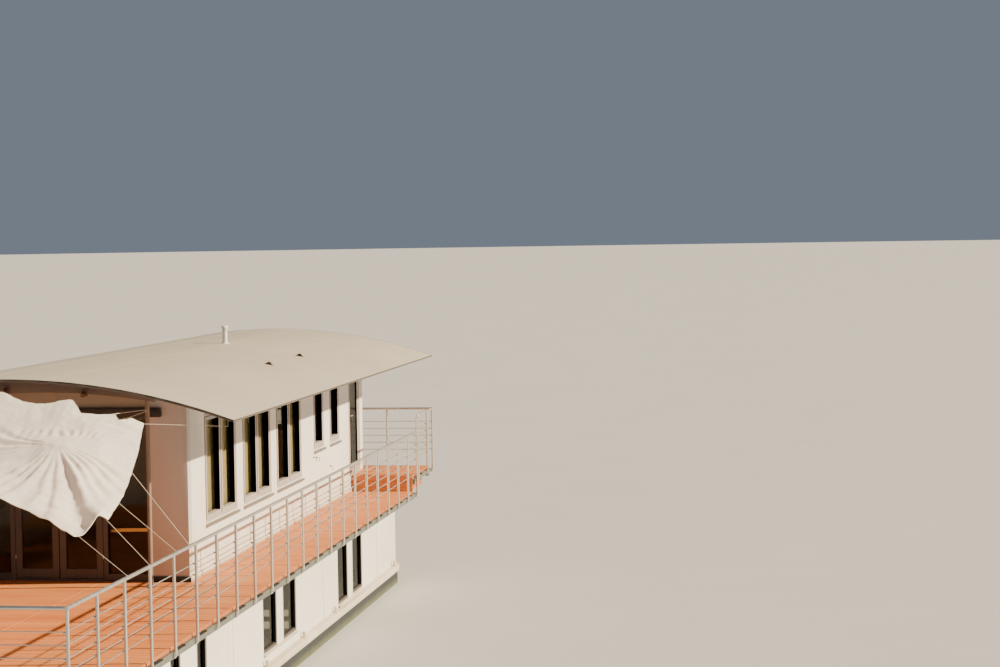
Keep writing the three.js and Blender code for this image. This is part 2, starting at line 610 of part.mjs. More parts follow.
function addRods() {
  const rodSpan = (centre) => [centre - ROD / 2, centre + ROD / 2];
  const flatSpan = (centre) => [centre - FLAT.thick / 2, centre + FLAT.thick / 2];
  const endOf = (end, sign) => [end, end - sign * FLAT.width].sort((a, b) => a - b);
  const midStep = [ROD_STEP_Y - FLAT.width / 2, ROD_STEP_Y + FLAT.width / 2];
  for (const [sideName, side] of [['right', 1], ['left', -1]]) {
    const x = rodSpan(side * ROD_X);
    const flatX = flatSpan(side * ROD_X);
    const pieces = [
      ...rods(x, [-ROD_Y + FLAT.cover, ROD_STEP_Y], DECK_TOP),
      upright(flatX, endOf(-ROD_Y, -1), [DECK_TOP]),
      upright(flatX, midStep, side > 0 ? [DECK_TOP, PLATFORM_TOP] : [DECK_TOP]),
    ];
    if (side > 0) {
      pieces.push(...rods(x, [ROD_STEP_Y, ROD_Y - FLAT.cover], PLATFORM_TOP));
      pieces.push(upright(flatX, endOf(ROD_Y, 1), [PLATFORM_TOP]));
    }
    add(`rods_${sideName}`, join(pieces), 'stainless');
  }
  const inside = ROD_END_X - FLAT.cover;
  const near = [
    ...rods([-inside, inside], rodSpan(-ROD_Y), DECK_TOP),
    ...[-1, 1].map((side) => upright(endOf(side * ROD_END_X, side), flatSpan(-ROD_Y), [DECK_TOP])),
  ];
  add('rods_near', join(near), 'stainless');
  const gapEnd = RAISED_POSTS[1];
  const far = [
    ...rods([-ROD_X, inside], rodSpan(ROD_Y), PLATFORM_TOP),
    ...rods(rodSpan(-ROD_X), [gapEnd + FLAT.cover, ROD_Y], PLATFORM_TOP),
    upright(endOf(ROD_END_X, 1), flatSpan(ROD_Y), [PLATFORM_TOP]),
    upright(flatSpan(-ROD_X), endOf(gapEnd, -1), [PLATFORM_TOP]),
    upright(rodSpan(-ROD_X), endOf(ROD_Y + ROD / 2, 1), [PLATFORM_TOP]),
  ];
  add('rods_far', join(far), 'stainless');
}

// Sun sail over the terrace: rows from the hem by the roof down to the near hem, as columns
// y, half width, height over water at the middle, at the quarter and at the edge
const SAIL_ROWS = [
  { y: -4150, halfWidth: 1920, middle: 4260, quarter: 4170, edge: 3880 },
  { y: -4800, halfWidth: 2060, middle: 3880, quarter: 3850, edge: 3660 },
  { y: -5300, halfWidth: 2140, middle: 3620, quarter: 3740, edge: 3420 },
  { y: -6100, halfWidth: 2240, middle: 3400, quarter: 3410, edge: 3180 },
  { y: -6950, halfWidth: 2150, middle: 3200, quarter: 3240, edge: 2970 },
];
const SAIL_THICK = 30;
const GUYS = [
  { row: 2, railY: -5878 },
  { row: 3, railY: -6382 },
  { row: 4, railY: -7379 },
];
const GUY_RADIUS = 6;
const GUY_END_Z = RAIL_Z + TUBE + GUY_RADIUS + 1;

function sailSolid() {
  const across = [-1, -0.5, 0, 0.5, 1];
  const heights = ({ middle, quarter, edge }) => [edge, quarter, middle, quarter, edge];
  const top = SAIL_ROWS.flatMap((row) => across.map((u, i) => (
    [u * row.halfWidth, row.y, DRAUGHT + heights(row)[i]])));
  const points = [...top, ...top.map(([x, y, z]) => [x, y, z - SAIL_THICK])];
  const columns = across.length;
  const rows = SAIL_ROWS.length;
  const under = rows * columns;
  const faces = [];
  const quad = (a, b, c, d) => faces.push(a, b, c, a, c, d);
  for (let r = 0; r < rows - 1; r += 1) {
    for (let c = 0; c < columns - 1; c += 1) {
      const a = r * columns + c;
      const b = a + columns;
      quad(b, b + 1, a + 1, a);
      quad(under + a, under + a + 1, under + b + 1, under + b);
    }
  }
  const rim = [];
  for (let c = 0; c < columns - 1; c += 1) rim.push(c);
  for (let r = 0; r < rows - 1; r += 1) rim.push(r * columns + columns - 1);
  for (let c = columns - 1; c > 0; c -= 1) rim.push((rows - 1) * columns + c);
  for (let r = rows - 1; r > 0; r -= 1) rim.push(r * columns);
  rim.forEach((a, i) => {
    const b = rim[(i + 1) % rim.length];
    quad(a, b, under + b, under + a);
  });
  const geometry = new THREE.BufferGeometry();
  geometry.setAttribute('position', new THREE.Float32BufferAttribute(points.flat(), 3));
  geometry.setIndex(faces);
  return solid(geometry);
}

// Short lines from the sail's upper corners to the posts, and guys down to the top rails
function addSail() {
  const lines = [-1, 1].flatMap((side) => [
    bar(
      [side * (SAIL_ROWS[0].halfWidth - 20), SAIL_ROWS[0].y - 10, DRAUGHT + SAIL_ROWS[0].edge - SAIL_THICK / 2],
      [side * GABLE_BEAM.postX, GABLE_BEAM.y - GABLE_BEAM.postRadius - GAP - 4, DRAUGHT + 3870],
      GUY_RADIUS, 6),
    ...GUYS.map(({ row, railY }) => {
      const { y, halfWidth, edge } = SAIL_ROWS[row];
      return bar(
        [side * (halfWidth - 20), y + 10, DRAUGHT + edge - SAIL_THICK / 2],
        [side * RAIL_X, railY, GUY_END_Z], GUY_RADIUS, 6);
    }),
  ]);
  add('sun_sail', join([sailSolid(), ...lines]), 'canvas');
}

addHull();
addLedge();
addLowerStorey();
addLowerWindows();
addDeck();
addDeckSteel();
addPlatform();
addCabinWalls();
addUpperWindows();
addSideDoors();
addTerraceFront();
addRoof();
addRoofFittings();
addSideRailing('right', 1);
addSideRailing('left', -1);
addEndRailings();
addRods();
addSail();

export default houseboat;
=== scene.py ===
import math

import bmesh
import bpy
from mathutils import Matrix, Vector, noise


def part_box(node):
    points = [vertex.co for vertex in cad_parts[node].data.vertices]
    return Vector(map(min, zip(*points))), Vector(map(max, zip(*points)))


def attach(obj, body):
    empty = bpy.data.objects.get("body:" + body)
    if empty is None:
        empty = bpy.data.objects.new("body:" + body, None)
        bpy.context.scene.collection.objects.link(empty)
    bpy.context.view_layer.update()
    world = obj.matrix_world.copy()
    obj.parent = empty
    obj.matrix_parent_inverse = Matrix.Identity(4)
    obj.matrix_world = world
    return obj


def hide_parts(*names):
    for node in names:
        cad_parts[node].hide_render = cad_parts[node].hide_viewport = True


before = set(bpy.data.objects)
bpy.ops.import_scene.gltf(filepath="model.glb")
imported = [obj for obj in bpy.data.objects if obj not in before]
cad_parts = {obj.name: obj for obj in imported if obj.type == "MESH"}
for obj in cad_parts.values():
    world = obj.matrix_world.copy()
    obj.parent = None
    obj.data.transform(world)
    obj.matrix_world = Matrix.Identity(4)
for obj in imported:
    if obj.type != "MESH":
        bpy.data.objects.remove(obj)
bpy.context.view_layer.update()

# Camera, floor and light
# The camera hangs high over the open water off the near end. The pale floor lies at the
# waterline. A warm sun stands low over the open water, and a pale surround fills the shade.
WATER = 0.9
YAW, PITCH, ROLL = 0.14578, 0.04612, -0.015
ahead = Vector((-math.sin(YAW) * math.cos(PITCH), math.cos(YAW) * math.cos(PITCH), -math.sin(PITCH)))
level = Vector((math.cos(YAW), math.sin(YAW), 0))
over = level.cross(ahead)
cam_right = level * math.cos(ROLL) + over * math.sin(ROLL)
cam_up = over * math.cos(ROLL) - level * math.sin(ROLL)
link_object = bpy.context.scene.collection.objects.link
camera = bpy.data.objects.new("camera", bpy.data.cameras.new("camera"))
camera.data.sensor_width = 36
camera.data.lens = 78.84
camera.data.clip_end = 3000
camera.matrix_world = Matrix.Translation((10.153, -30.0, 7.0613)) @ Matrix(
    (cam_right, cam_up, -ahead)).transposed().to_4x4()
link_object(camera)
bpy.context.scene.camera = camera


def linear(hex_colour):
    """sRGB hex to linear RGBA."""
    parts = [int(hex_colour[i:i + 2], 16) / 255 for i in (1, 3, 5)]
    return [p / 12.92 if p <= 0.04045 else ((p + 0.055) / 1.055) ** 2.4 for p in parts] + [1]


def add_node(tree, kind, settings=(), links=()):
    """Adds one shader node with its properties or socket values, and links its inputs."""
    node = tree.nodes.new("ShaderNode" + kind)
    for key, value in dict(settings).items():
        if isinstance(key, str) and hasattr(node, key):
            setattr(node, key, value)
        else:
            node.inputs[key].default_value = value
    for key, source in dict(links).items():
        tree.links.new(source, node.inputs[key])
    return node


def new_material(name, roughness, colour, metallic=0.0, ior=1.5):
    """A principled material of one colour, with its tree and shader."""
    made = bpy.data.materials.new(name)
    made.use_nodes = True
    shader = made.node_tree.nodes["Principled BSDF"]
    shader.inputs["Roughness"].default_value = roughness
    shader.inputs["Metallic"].default_value = metallic
    shader.inputs["Base Color"].default_value = linear(colour)
    if not metallic:
        shader.inputs["IOR"].default_value = ior
    return made, made.node_tree, shader


def tones(tree, fac, dark, light, spread):
    """A ramp from a dark tone to a light one, about the middle of what fac gives."""
    ramp = add_node(tree, "ValToRGB", links={"Fac": fac})
    for stop, place, colour in zip(ramp.color_ramp.elements, (0.5 - spread, 0.5 + spread), (dark, light)):
        stop.position = place
        stop.color = linear(colour)
    return ramp.outputs["Color"]


# Sealed floor screed, rolled and dull
floor_finish, tree, shader = new_material("floor_screed", 0.75, "#bfc0bf")
place = add_node(tree, "TexCoord")
cloud = add_node(tree, "TexNoise", {"Scale": 0.35, "Detail": 3}, {"Vector": place.outputs["Object"]})
tree.links.new(tones(tree, cloud.outputs["Fac"], "#bbbcbb", "#c3c4c3", 0.5), shader.inputs["Base Color"])
bm = bmesh.new()
bmesh.ops.create_circle(bm, cap_ends=True, segments=64, radius=900,
                        matrix=Matrix.Translation((0, 0, WATER)))
floor_mesh = bpy.data.meshes.new("floor")
bm.to_mesh(floor_mesh)
bm.free()
floor_mesh.materials.append(floor_finish)
floor = bpy.data.objects.new("floor", floor_mesh)
link_object(floor)

SUN_HEIGHT, SUN_TURN = math.radians(30.5), math.radians(8)
sun_from = Vector((math.cos(SUN_HEIGHT) * math.cos(SUN_TURN), math.cos(SUN_HEIGHT) * math.sin(SUN_TURN),
                   math.sin(SUN_HEIGHT)))
sun = bpy.data.objects.new("sun", bpy.data.lights.new("sun", "SUN"))
sun.data.energy = 12
sun.data.color = linear("#ffe9c8")[:3]
sun.data.angle = math.radians(1)
sun.rotation_euler = sun_from.to_track_quat("Z", "Y").to_euler()
link_object(sun)
world = bpy.data.worlds.new("surround")
bpy.context.scene.world = world
world.use_nodes = True
world.node_tree.nodes["Background"].inputs["Color"].default_value = linear("#c6d6ea")
world.node_tree.nodes["Background"].inputs["Strength"].default_value = 0.3


# Lines
# Braided white polyester cord, 6 mm thick, from the sail's corners and edges to the roof, the
# gable beam's posts and the top rails, each pulled taut.
def finish(name, light, dark, roughness, metallic=0.0, patch_mm=600, stretch=(1, 1, 1), contrast=0.3,
           grain_mm=4, bump_mm=0.15):
    """A material whose colour drifts between two tones in patches, with a fine surface grain."""
    made, tree, shader = new_material(name, roughness, light, metallic)
    place = add_node(tree, "TexCoord")
    drawn = add_node(tree, "Mapping", {"Scale": stretch},
                     {"Vector": place.outputs["Object"]}).outputs["Vector"]
    patch = add_node(tree, "TexNoise", {"Scale": 1000 / patch_mm, "Detail": 6, "Roughness": 0.62},
                     {"Vector": drawn})
    tree.links.new(tones(tree, patch.outputs["Fac"], dark, light, contrast), shader.inputs["Base Color"])
    rough = add_node(tree, "MapRange", {"To Min": max(roughness - 0.1, 0.02), "To Max": roughness + 0.1},
                     {"Value": patch.outputs["Fac"]})
    tree.links.new(rough.outputs["Result"], shader.inputs["Roughness"])
    grain = add_node(tree, "TexNoise", {"Scale": 1000 / grain_mm, "Detail": 3}, {"Vector": drawn})
    bump = add_node(tree, "Bump", {"Distance": bump_mm / 1000, "Strength": 0.8},
                    {"Height": grain.outputs["Fac"]})
    tree.links.new(bump.outputs["Normal"], shader.inputs["Normal"])
    return made


def piece(name, bm, material, node=None, slot=None, body="boat", crease=35):
    """Makes an object of the bmesh, shaded smooth but for its creases, riding on its body."""
    bmesh.ops.remove_doubles(bm, verts=bm.verts, dist=1e-6)
    for edge in bm.edges:
        edge.smooth = not edge.is_manifold or edge.calc_face_angle(0) < math.radians(crease)
    for face in bm.faces:
        face.smooth = True
    mesh = bpy.data.meshes.new(name)
    bm.to_mesh(mesh)
    bm.free()
    mesh.materials.append(material)
    made = bpy.data.objects.new(name, mesh)
    link_object(made)
    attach(made, body)
    if node:
        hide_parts(node)
    return made


def line_mesh(points, radius, closed=False):
    """A round line through the points, as a mesh."""
    data = bpy.data.curves.new("line", "CURVE")
    data.dimensions = "3D"
    data.bevel_depth = radius
    data.bevel_resolution = 2
    data.use_fill_caps = True
    spline = data.splines.new("POLY")
    spline.points.add(len(points) - 1)
    for point, target in zip(points, spline.points):
        target.co = (*point, 1)
    spline.use_cyclic_u = closed
    holder = bpy.data.objects.new("line", data)
    link_object(holder)
    made = bpy.data.meshes.new_from_object(holder.evaluated_get(bpy.context.evaluated_depsgraph_get()))
    bpy.data.objects.remove(holder)
    bm = bmesh.new()
    bm.from_mesh(made)
    bpy.data.meshes.remove(made)
    return bm


# Braided polyester cord: off-white, dull, its braid 1.5 mm across
cord_white = finish("braided_polyester_cord", "#efe6d4", "#d2c7b0", 0.8, patch_mm=8, grain_mm=1.5,
                    bump_mm=0.4)
SIDES = (("right", 1), ("left", -1))
CORD_RADIUS, CORD_STEP = 0.003, 0.1
RAIL_CORD_Z = 3.548
HOOK_X, HOOK_Y = 2.865, -3.7
LINES = [
    ("corner", [(HOOK_X, HOOK_Y, 4.778), (HOOK_X, HOOK_Y, 4.71), (1.925, -4.15, 4.781)]),
    ("notch", [(1.397, -2.334, 4.792), (1.688, -4.38, 4.836)]),
    ("peak", [(1.38, -2.334, 4.807), (1.579, -4.2, 4.911)]),
    ("guy_1", [(2.979, -5.878, RAIL_CORD_Z), (2.12, -5.3, 4.33)]),
    ("guy_2", [(2.979, -6.382, RAIL_CORD_Z), (2.235, -6.15, 4.07)]),
    ("guy_3", [(2.979, -7.379, RAIL_CORD_Z), (2.28, -6.68, 3.935)]),
    ("guy_4", [(2.979, -8.137, RAIL_CORD_Z), (2.06, -7.12, 3.85)]),
]
for side_name, side in SIDES:
    for name, ends in LINES:
        bends = [Vector((side * x, y, z)) for x, y, z in ends]
        points = [bends[0]]
        for a, b in zip(bends, bends[1:]):
            count = max(2, round((b - a).length / CORD_STEP))
            points += [a.lerp(b, i / count) for i in range(1, count + 1)]
        made = piece(f"line_{name}_{side_name}", line_mesh(points, CORD_RADIUS), cord_white)
        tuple(points[0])


# Pontoon hull
# A welded steel tub with rounded plan corners and a small chine, brush painted in dull
# black-green bitumen paint, with slime and lime at the waterline.
def overlay(made, mask, colour):
    """Lays a second colour over what the material's colour socket holds, where mask is 1."""
    tree = made.node_tree
    target = tree.nodes["Principled BSDF"].inputs["Base Color"]
    below = target.links[0].from_socket
    mix = add_node(tree, "Mix", {"data_type": "RGBA", 7: linear(colour)}, {0: mask, 6: below})
    tree.links.new(mix.outputs[2], target)


def streaks(made, colour, width_mm, share, strength, length=12):
    """Long upright runs of dirt, washed down by rain."""
    tree = made.node_tree
    place = add_node(tree, "TexCoord")
    drawn = add_node(tree, "Mapping", {"Scale": (1, 1, 1 / length)}, {"Vector": place.outputs["Object"]})
    run = add_node(tree, "TexNoise", {"Scale": 1000 / width_mm, "Detail": 4, "Roughness": 0.7},
                   {"Vector": drawn.outputs["Vector"]})
    mask = add_node(tree, "MapRange", {"From Min": share, "From Max": share + 0.22, "To Max": strength},
                    {"Value": run.outputs["Fac"]})
    overlay(made, mask.outputs["Result"], colour)


def tide_band(made, colour, low, high, strength, ragged=0.05):
    """A ragged band that is full at height low and gone at height high."""
    tree = made.node_tree
    place = add_node(tree, "TexCoord").outputs["Object"]
    ups = add_node(tree, "SeparateXYZ", links={"Vector": place})
    rag = add_node(tree, "TexNoise", {"Scale": 6, "Detail": 6}, {"Vector": place})
    lift = add_node(tree, "Math", {"operation": "MULTIPLY_ADD", 1: ragged * 2}, {
        0: rag.outputs["Fac"], 2: ups.outputs["Z"]})
    mask = add_node(tree, "MapRange",
                    {"From Min": low + ragged, "From Max": high + ragged, "To Min": strength,
                     "To Max": 0.0}, {"Value": lift.outputs["Value"]})
    overlay(made, mask.outputs["Result"], colour)


def merged(node):
    """A bmesh of a CAD node with its loose triangles joined and its flat faces made whole."""
    bm = bmesh.new()
    bm.from_mesh(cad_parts[node].data)
    bmesh.ops.remove_doubles(bm, verts=bm.verts, dist=2e-5)
    bmesh.ops.dissolve_limit(bm, angle_limit=math.radians(1), verts=bm.verts, edges=bm.edges)
    return bm


def bevel(bm, edges, width, segments=2):
    """Bevels the edges to the given width."""
    bmesh.ops.bevel(bm, geom=edges, offset=width, offset_type="OFFSET", segments=segments, profile=0.5,
                    affect="EDGES", clamp_overlap=True, material=-1)


def soften(bm, width, segments=2):
    """Bevels the edges where faces meet at more than 25 degrees."""
    corners = [e for e in bm.edges if e.is_manifold and e.calc_face_angle(0) > math.radians(25)]
    bevel(bm, corners, width, segments)


def dressed(node, name, material, slot, width, segments=2):
    """Replaces a CAD node by its own shape with softened edges."""
    bm = merged(node)
    soften(bm, width, segments)
    piece(name, bm, material, node, slot)


# Bitumen paint, brushed on steel plate: nearly black, a little green, dull
hull_paint = finish("bitumen_paint_on_steel", "#2b3231", "#171c1c", 0.55, patch_mm=900, grain_mm=9,
                    bump_mm=0.8)
streaks(hull_paint, "#5b4a37", 45, 0.6, 0.55)
tide_band(hull_paint, "#5f6444", WATER, WATER + 0.12, 0.9)
dressed("hull", "hull_plating", hull_paint, "hull_paint", 0.012)


# Mooring ledge
# A steel ledge all round the hull at the foot of the lower walls, painted beige, with short
# mooring bollards welded on it.
def block(bm, x, y, z):
    """Adds a box from its low to its high side along X, Y and Z."""
    low, high = Vector((x[0], y[0], z[0])), Vector((x[1], y[1], z[1]))
    place = Matrix.Translation((low + high) / 2) @ Matrix.Diagonal((*(high - low), 1))
    return bmesh.ops.create_cube(bm, size=1, matrix=place)["verts"]


def span(side, a, b):
    """The span between two distances from the middle plane on one side, its low end first."""
    return sorted((side * a, side * b))


def bar(bm, start, end, radius, sides=12, end_radius=None):
    """Adds a round bar between two points, or a cone if the end radius differs."""
    start, end = Vector(start), Vector(end)
    along = end - start
    place = Matrix.Translation((start + end) / 2) @ along.to_track_quat("Z", "Y").to_matrix().to_4x4()
    bmesh.ops.create_cone(bm, cap_ends=True, segments=sides, radius1=radius,
                          radius2=radius if end_radius is None else end_radius, depth=along.length,
                          matrix=place)


def upright(bm, x, y, low, high, radius, sides=12, end_radius=None):
    """Adds an upright round bar or cone."""
    bar(bm, (x, y, low), (x, y, high), radius, sides, end_radius)


# Alkyd paint, rolled on steel: beige, satin, with rain runs
ledge_paint = finish("beige_alkyd_on_steel", "#e0d7c4", "#c3b8a0", 0.5, patch_mm=500, grain_mm=6,
                     bump_mm=0.3)
streaks(ledge_paint, "#6d5a42", 70, 0.55, 0.6)
LEDGE_TOP = 1.22
BOLLARD_Y = (-6.2, -1.29, 0.86, 2.96, 7.68)
BOLLARD_X, BOLLARD_RADIUS, BOLLARD_TOP = 2.68, 0.03, 1.31
bm = merged("mooring_ledge")
bmesh.ops.delete(bm, geom=[v for v in bm.verts if v.co.z > LEDGE_TOP + 0.002], context="VERTS")
bmesh.ops.holes_fill(bm, edges=bm.edges, sides=0)
soften(bm, 0.01)
for side in (-1, 1):
    for y in BOLLARD_Y:
        at = (bm, side * BOLLARD_X, y)
        neck = BOLLARD_RADIUS * 0.8
        upright(*at, LEDGE_TOP - 0.002, LEDGE_TOP + 0.01, BOLLARD_RADIUS * 1.5, 20)
        upright(*at, LEDGE_TOP, BOLLARD_TOP - 0.014, neck, 20)
        upright(*at, BOLLARD_TOP - 0.024, BOLLARD_TOP - 0.012, neck, 20, BOLLARD_RADIUS)
        upright(*at, BOLLARD_TOP - 0.012, BOLLARD_TOP, BOLLARD_RADIUS, 20, neck)
piece("ledge", bm, ledge_paint, "mooring_ledge", "ledge_paint")

# Lower walls
# Smooth lacquered fibre-cement panels on the hull's upper part, with a cover strip lacquered
# like them over the joint between panels every few metres.
# Fibre-cement panel, lacquered white: satin, with faint rain runs
panel_white = finish("lacquered_fibre_cement", "#ece9e0", "#dcd8cd", 0.42, patch_mm=1500, grain_mm=3,
                     bump_mm=0.08)
streaks(panel_white, "#a39c8c", 120, 0.56, 0.28, length=25)
PANEL_JOINTS = (-6.6, -2.8, 2.35, 6.4)
WALLS = ("right", "left", "near", "far")
for wall in WALLS:
    dressed(f"lower_wall_{wall}", f"lower_wall_{wall}_panel", panel_white, "white_panel", 0.004)
bm = bmesh.new()
LOWER_X, LOWER_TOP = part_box("lower_wall_right")[1].x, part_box("lower_wall_right")[1].z
for side in (-1, 1):
    for y in PANEL_JOINTS:
        block(bm, span(side, LOWER_X - 0.001, LOWER_X + 0.006), (y - 0.025, y + 0.025),
              (LEDGE_TOP + 0.012, LOWER_TOP - 0.03))
soften(bm, 0.002)
piece("lower_joint_strips", bm, panel_white, slot="white_panel")

# Lower windows
# Tall wooden casements in pairs with a white panel between them, painted dark brown, with a
# sloping sheet sill that stands a little proud.
TO_RIGHT = Matrix(((0, 1, 0, 0), (-1, 0, 0, 0), (0, 0, 1, 0), (0, 0, 0, 1)))
TO_LEFT = Matrix(((0, -1, 0, 0), (1, 0, 0, 0), (0, 0, 1, 0), (0, 0, 0, 1)))
TO_NEAR = Matrix(((-1, 0, 0, 0), (0, -1, 0, 0), (0, 0, 1, 0), (0, 0, 0, 1)))
TO_FAR = Matrix.Identity(4)
FACING = {1: TO_RIGHT, -1: TO_LEFT}

# Softwood, brush painted: the brush leaves faint runs along the grain
BRUSHED = {"patch_mm": 300, "stretch": (1, 1, 0.25), "grain_mm": 2, "bump_mm": 0.12}
frame_paint = finish("painted_softwood", "#b3aaa3", "#9d948e", 0.45, **BRUSHED)
dark_frame_paint = finish("dark_painted_softwood", "#57504b", "#443e39", 0.45, **BRUSHED)
# Float glass, sealed double pane: clear, slightly green, mirror smooth. It lets the light through
# unbent and mirrors more of the surroundings the flatter one looks along it.
glass, tree, shader = new_material("float_glass", 0.02, "#dfe8e2", ior=1.45)
clear = add_node(tree, "BsdfTransparent", {"Color": linear("#e9e9e4")})
mirror = add_node(tree, "BsdfGlossy", {"Roughness": 0.02, "Color": linear("#a9aca6")})
share = add_node(tree, "Fresnel", {"IOR": 1.45})
side_of = add_node(tree, "NewGeometry")
outside = add_node(tree, "Math", {"operation": "SUBTRACT", 0: 1.0}, {1: side_of.outputs["Backfacing"]})
front = add_node(tree, "Math", {"operation": "MULTIPLY"},
                 {0: share.outputs["Fac"], 1: outside.outputs["Value"]})
both = add_node(tree, "MixShader", links={0: front.outputs["Value"], 1: clear.outputs["BSDF"],
                                          2: mirror.outputs["BSDF"]})
tree.links.new(both.outputs["Shader"], tree.nodes["Material Output"].inputs["Surface"])
tree.nodes.remove(shader)
# EPDM seal, extruded: black and dull
rubber_seal = finish("epdm_seal", "#26262a", "#1b1b1e", 0.7, patch_mm=80, grain_mm=1, bump_mm=0.05)
# Sheet aluminium, folded and anodised
anodised = finish("anodised_aluminium_sheet", "#b9b6ae", "#a3a097", 0.38, metallic=0.9, patch_mm=250,
                  stretch=(1, 0.2, 1), grain_mm=1.5, bump_mm=0.03)
GLASS_THICK = 0.024


def ring(bm, x, z, y, width):
    """Adds four members round an opening, from x and z spans, as deep as the y span."""
    for low in (x[0], x[1] - width):
        block(bm, (low, low + width) if low == x[0] else (low, x[1]), y, z)
    for low in (z[0], z[1] - width):
        block(bm, (x[0] + width, x[1] - width), y, (low, low + width) if low == z[0] else (low, z[1]))


def glaze(panes, seals, x, z, y, tuck, proud, bead):
    """Adds a pane tucked under its frame all round, and the seal along the edge of its front."""
    block(panes, (x[0] - tuck, x[1] + tuck), y, (z[0] - tuck, z[1] + tuck))
    ring(seals, x, z, (y[1] - 0.001, y[1] + proud), bead)


def sheet_sill(bm, half, back, front, z, fall, lip):
    """Adds a sheet sill that falls to the front, with a folded lip under its front edge."""
    for v in block(bm, (-half, half), (back, front), z):
        if v.co.y > 0:
            v.co.z -= fall
    block(bm, (-half, half), (front - 0.002, front + 0.001), lip)


def turned(facing, origin, *parts):
    """Turns what was drawn facing +Y towards its wall, and moves it to its place."""
    for bm in parts:
        bmesh.ops.transform(bm, matrix=Matrix.Translation(origin) @ facing, verts=bm.verts)


def joinery(name, bm, paint, node, body="boat"):
    """Makes a painted frame or leaf, whose flat faces stay flat up to their eased edges."""
    piece(name, bm, paint, node, "window_frame", body, crease=20)


def mid_pane(depth):
    """The Y span of a pane in the middle of a member as deep as given."""
    return -depth / 2 - GLASS_THICK / 2, -depth / 2 + GLASS_THICK / 2


LOWER_HEAD = 2.25
LOWER_DEPTH, LOWER_MEMBER, LOWER_BACK = 0.09, 0.045, 0.008
# Name, start along the boat, pane width, width of the panel between, sill height
LOWER_PAIRS = [
    ("near", -5.56, 0.42, 0.69, 1.375),
    ("middle", -1.28, 0.76, 0.37, 1.375),
    ("far", 3.36, 0.73, 0.37, 1.26),
]
for side_name, side in SIDES:
    for name, start, pane, strip, sill in LOWER_PAIRS:
        width = 2 * pane + strip
        tag = f"{side_name}_{name}"
        frames, panes, seals, panel, sills = [bmesh.new() for _ in range(5)]
        for end in (-1, 1):
            x = span(end, width / 2 - 0.001, width / 2 - pane)
            ring(frames, x, (sill, LOWER_HEAD), (-LOWER_DEPTH, 0), LOWER_MEMBER)
            glaze(panes, seals, (x[0] + LOWER_MEMBER, x[1] - LOWER_MEMBER),
                  (sill + LOWER_MEMBER, LOWER_HEAD - LOWER_MEMBER), mid_pane(LOWER_DEPTH), 0.01, 0.006,
                  0.007)
        soften(frames, 0.003)
        block(panel, (-strip / 2 + 0.002, strip / 2 - 0.002), (-LOWER_DEPTH, 0.004),
              (sill + 0.001, LOWER_HEAD - 0.001))
        soften(panel, 0.003)
        sheet_sill(sills, width / 2 - 0.004, -0.03, 0.035, (sill - 0.004, sill + 0.004), 0.012,
                   (sill - 0.035, sill - 0.009))
        origin = (side * (LOWER_X - LOWER_BACK), start + width / 2, 0)
        turned(FACING[side], origin, frames, panes, seals, panel, sills)
        joinery(f"lower_casements_{tag}", frames, dark_frame_paint, f"lower_window_{tag}")
        piece(f"lower_glass_{tag}", panes, glass)
        piece(f"lower_seals_{tag}", seals, rubber_seal)
        piece(f"lower_strip_{tag}", panel, panel_white, slot="white_panel")
        piece(f"lower_sill_{tag}", sills, ledge_paint, slot="ledge_paint")

# Deck boards
# Red-brown hardwood boards laid across the boat in framed panels one railing bay long, each
# board with eased edges and screwed down, silvered where people walk least.
# Hardwood, planed and oiled: the grain runs across the boat
deck_wood = finish("oiled_hardwood_boards", "#dc924f", "#c4713a", 0.62, patch_mm=260,
                   stretch=(0.18, 1.6, 1), contrast=0.24, grain_mm=1.6, bump_mm=0.35)
tree = deck_wood.node_tree
place = add_node(tree, "TexCoord").outputs["Object"]
per_board = add_node(tree, "Mapping", {"Scale": (0.02, 6.85, 0)}, {"Vector": place})
snap = add_node(tree, "VectorMath", {"operation": "FLOOR"}, {0: per_board.outputs["Vector"]})
tone = add_node(tree, "TexWhiteNoise", {"noise_dimensions": "3D"}, {"Vector": snap.outputs["Vector"]})
mask = add_node(tree, "MapRange", {"To Max": 0.3}, {"Value": tone.outputs["Value"]})
overlay(deck_wood, mask.outputs["Result"], "#b8622f")
worn = add_node(tree, "TexNoise", {"Scale": 0.9, "Detail": 5}, {"Vector": place})
mask = add_node(tree, "MapRange", {"From Min": 0.55, "From Max": 0.8, "To Max": 0.35},
                {"Value": worn.outputs["Fac"]})
overlay(deck_wood, mask.outputs["Result"], "#cf9f72")
# Faces that look across the boat, the boards' sawn ends above all, are darkened by their facing: painted
# shade that keeps the sunlit ends from showing a bright edge
facing = add_node(tree, "NewGeometry")
parts = add_node(tree, "SeparateXYZ", links={"Vector": facing.outputs["Normal"]})
end_face_shade = add_node(tree, "Math", {"operation": "ABSOLUTE"}, {0: parts.outputs["X"]})
mask = add_node(tree, "MapRange", {"From Min": 0.5, "From Max": 0.9, "To Max": 0.6},
                {"Value": end_face_shade.outputs["Value"]})
overlay(deck_wood, mask.outputs["Result"], "#8f5433")
# Stainless screw heads, turned
screw_steel = finish("turned_stainless_steel", "#8d8a84", "#77746e", 0.35, metallic=1.0, patch_mm=20,
                     grain_mm=1, bump_mm=0.02)

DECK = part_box("deck")
DECK_TOP, DECK_UNDER, DECK_NEAR, DECK_X = DECK[1].z, DECK[0].z, DECK[0].y, DECK[1].x
POST_COUNT, FIRST_POST, LAST_POST = 22, -9.979, 8.39
BAY = (LAST_POST - FIRST_POST) / (POST_COUNT - 1)
posts_y = [FIRST_POST + i * BAY for i in range(POST_COUNT)]
BOARDS_PER_BAY = 6
BOARD_GAP, PANEL_GAP, BOARD_THICK = 0.005, 0.007, 0.04
STEP_Y, CABIN_X = 8.25, 1.808
CABIN_NEAR, CABIN_FAR = -1.92, 9.3
# Panels meet beside the cabin and either side of the middle
BESIDE_CABIN, MIDDLE_PANEL = 1.81, 0.6
